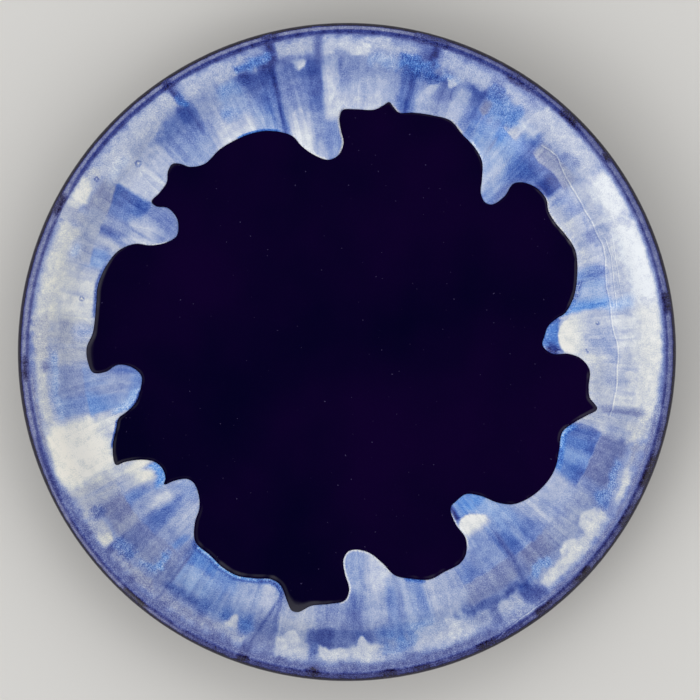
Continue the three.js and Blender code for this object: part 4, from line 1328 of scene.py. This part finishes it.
def milk_glaze():
    """Overlay glaze. Its painted milkiness, streaked along the flow, clouded and specked, sets its colour."""
    material, tree, shader = new_material("milk_glaze", roughness=0.1, gloss=GLAZE_GLOSS)
    place = object_place(tree)
    painted = {name: add_node(tree, "ShaderNodeAttribute", attribute_name=name)
               for name in ("milk", "hue", "boil", "fold", "flow")}
    milk, hue, boil, fold = (painted[name].outputs["Fac"] for name in ("milk", "hue", "boil", "fold"))
    flow = painted["flow"].outputs["Vector"]
    reach = add_node(tree, "ShaderNodeSeparateXYZ", {0: flow}).outputs["Z"]
    squeezed = add_node(tree, "ShaderNodeVectorMath", {0: flow, 1: SPECK_SQUEEZE}, operation="MULTIPLY")

    streaks = noise_value(tree, flow, scale=0.5, detail=4.0, roughness=0.52)
    clouds = noise_value(tree, place, scale=330.0)
    sheets = maths(tree, "MULTIPLY", noise_value(tree, flow, scale=0.09, detail=1.0), SHEET_STEPS)
    specks = noise_value(tree, squeezed.outputs["Vector"], scale=1.4, detail=2.0, roughness=0.6)
    grain = noise_value(tree, place, scale=3000.0, detail=1.0)
    milk = add_scaled(tree, milk, streaks, remap(tree, milk, *STREAK_AMOUNTS))
    milk = add_scaled(tree, milk, clouds, CLOUD_AMOUNT)
    milk = add_scaled(tree, milk, maths(tree, "FRACT", sheets), remap(tree, reach, *SHEET_AMOUNTS))
    milk = add_scaled(tree, milk, specks, boil)
    grit = maths(tree, "ADD", remap(tree, milk, *GRIT_AMOUNTS), boil)
    milk = add_scaled(tree, milk, grain, grit)

    fold = add_scaled(tree, fold, noise_value(tree, flow, scale=0.12, detail=2.0), FOLD_WAVER)
    crest = remap(tree, maths(tree, "ABSOLUTE", fold), *CREST_FADE)
    side = remap(tree, maths(tree, "ABSOLUTE", maths(tree, "SUBTRACT", fold, SIDE_PLACE)), *SIDE_FADE)
    # Painted highlight on the crest of each fold, and painted shade on its inner side
    milk = maths(tree, "ADD", milk, maths(tree, "MULTIPLY", crest, CREST_PAINTED_HIGHLIGHT))
    milk = maths(tree, "SUBTRACT", milk, maths(tree, "MULTIPLY", side, SIDE_PAINTED_SHADE))

    colour, *bluer = (colour_ramp(tree, milk, column) for column in range(4))
    for low, bluer_colour in zip((-2.0, -1.0, 0.0), bluer):
        colour = mix_colours(tree, remap(tree, hue, low, low + 1.0), colour, bluer_colour)
    tree.links.new(colour, shader.inputs["Base Color"])
    relief = maths(tree, "ADD", maths(tree, "ADD", streaks, clouds), crest)
    tree.links.new(bump(tree, relief, distance=0.0002, strength=0.15), shader.inputs["Normal"])
    return material


def bare_clay():
    """Unglazed buff stoneware with a fine grain and iron specks."""
    material, tree, shader = new_material("bare_clay", roughness=0.85, gloss=0.5)
    place = object_place(tree)
    clouds = remap(tree, noise_value(tree, place, scale=70.0, detail=4.0), 0.3, 0.7)
    colour = mix_colours(tree, clouds, *map(rgba, CLAY_TONES))
    iron = remap(tree, noise_value(tree, place, scale=1400.0, detail=1.0), 0.7, 0.74)
    tree.links.new(mix_colours(tree, iron, colour, rgba(CLAY_IRON)), shader.inputs["Base Color"])
    grain = noise_value(tree, place, scale=2200.0)
    tree.links.new(bump(tree, grain, distance=0.0002, strength=0.35), shader.inputs["Normal"])
    return material


# Stage

FLOOR_REACH = 8.0
FLOOR_COLOUR = (0.64, 0.63, 0.61, 1.0)


def add_floor():
    """A plain pale floor under the plate."""
    mesh = bpy.data.meshes.new("floor")
    corners = [(x * FLOOR_REACH, y * FLOOR_REACH, 0) for x, y in ((-1, -1), (1, -1), (1, 1), (-1, 1))]
    mesh.from_pydata(corners, [], [(0, 1, 2, 3)])
    material, _, shader = new_material("floor", roughness=0.9, gloss=0.1)
    shader.inputs["Base Color"].default_value = FLOOR_COLOUR
    mesh.materials.append(material)
    floor = bpy.data.objects.new("floor", mesh)
    bpy.context.scene.collection.objects.link(floor)


# Soft light from around the plate: direction, half width in degrees where it has faded out, brightness
LAMPS = [
    ((-0.70, -0.50, 0.50), 32, 2.0),
    ((0.80, -0.36, 0.48), 30, 0.7),
    ((0.10, 0.75, 0.65), 38, 0.6),
]
WALL_LIGHT = 0.9
WALL_FOOT_LIGHT = 0.25
WALL_FOOT_EDGE = (0.0, 0.3)
CEILING_LIGHT = 0.03
CEILING_EDGE = (0.9, 0.985)


def add_world():
    """Pale walls all round under a small dark ceiling, which the flat well mirrors."""
    world = bpy.data.worlds.new("studio")
    bpy.context.scene.world = world
    world.use_nodes = True
    tree = world.node_tree
    toward = add_node(tree, "ShaderNodeTexCoord").outputs["Generated"]
    height = add_node(tree, "ShaderNodeSeparateXYZ", {0: toward}).outputs["Z"]
    strength = maths(
        tree, "MINIMUM",
        remap(tree, height, *CEILING_EDGE, WALL_LIGHT, CEILING_LIGHT),
        remap(tree, height, *WALL_FOOT_EDGE, WALL_FOOT_LIGHT, WALL_LIGHT),
    )
    for aim, half_width, brightness in LAMPS:
        facing = add_node(
            tree, "ShaderNodeVectorMath", {0: toward, 1: Vector(aim).normalized()}, operation="DOT_PRODUCT"
        ).outputs["Value"]
        edge = math.cos(math.radians(half_width))
        lobe = remap(tree, facing, edge, 1.0, 0.0, brightness, interpolation_type="SMOOTHSTEP")
        strength = maths(tree, "ADD", strength, lobe)
    background = tree.nodes["Background"]
    background.inputs["Color"].default_value = (1.0, 1.0, 1.0, 1.0)
    tree.links.new(strength, background.inputs["Strength"])


# The photograph is square, with the plate straight below the camera: its width, and the radius and the
# centre of the plate in it, in pixels
FRAME_PIXELS = 700
PLATE_PIXELS = 329.2
PLATE_CENTRE_PIXELS = (346.95, 351.98)
CAMERA_DISTANCE = 4.0
SENSOR_WIDTH = 36.0


def add_camera():
    """The camera, high over the plate, with the photograph's frame."""
    lens = bpy.data.cameras.new("camera")
    pixel = PLATE_RADIUS * MM / PLATE_PIXELS
    half_frame = FRAME_PIXELS / 2
    lens.sensor_width = SENSOR_WIDTH
    lens.lens = SENSOR_WIDTH / 2 * CAMERA_DISTANCE / (half_frame * pixel)
    camera = bpy.data.objects.new("camera", lens)
    right = (half_frame - PLATE_CENTRE_PIXELS[0]) * pixel
    up = (PLATE_CENTRE_PIXELS[1] - half_frame) * pixel
    camera.location = (right, up, CAMERA_DISTANCE + LIP_CENTRE[1] * MM)
    bpy.context.scene.collection.objects.link(camera)
    bpy.context.scene.camera = camera


def add_stage():
    """Floor, light and camera."""
    add_floor()
    add_world()
    add_camera()
    bpy.context.scene.view_settings.view_transform = "Standard"


def build():
    """The four pieces, each in the place of its solid."""
    clay, cobalt, milk = bare_clay(), cobalt_glaze(), milk_glaze()
    pieces = [
        (clay_body(clay), "stoneware_body", "bare_clay"),
        (base_coat(cobalt), "base_glaze", "cobalt_glaze"),
        (foot_coat(cobalt), "foot_glaze", "cobalt_glaze"),
        (drip_overlay(milk), "drip_glaze", "milk_glaze"),
    ]
    for piece, node, slot in pieces:
        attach(piece, "root")
        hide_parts(node)


build()
add_stage()
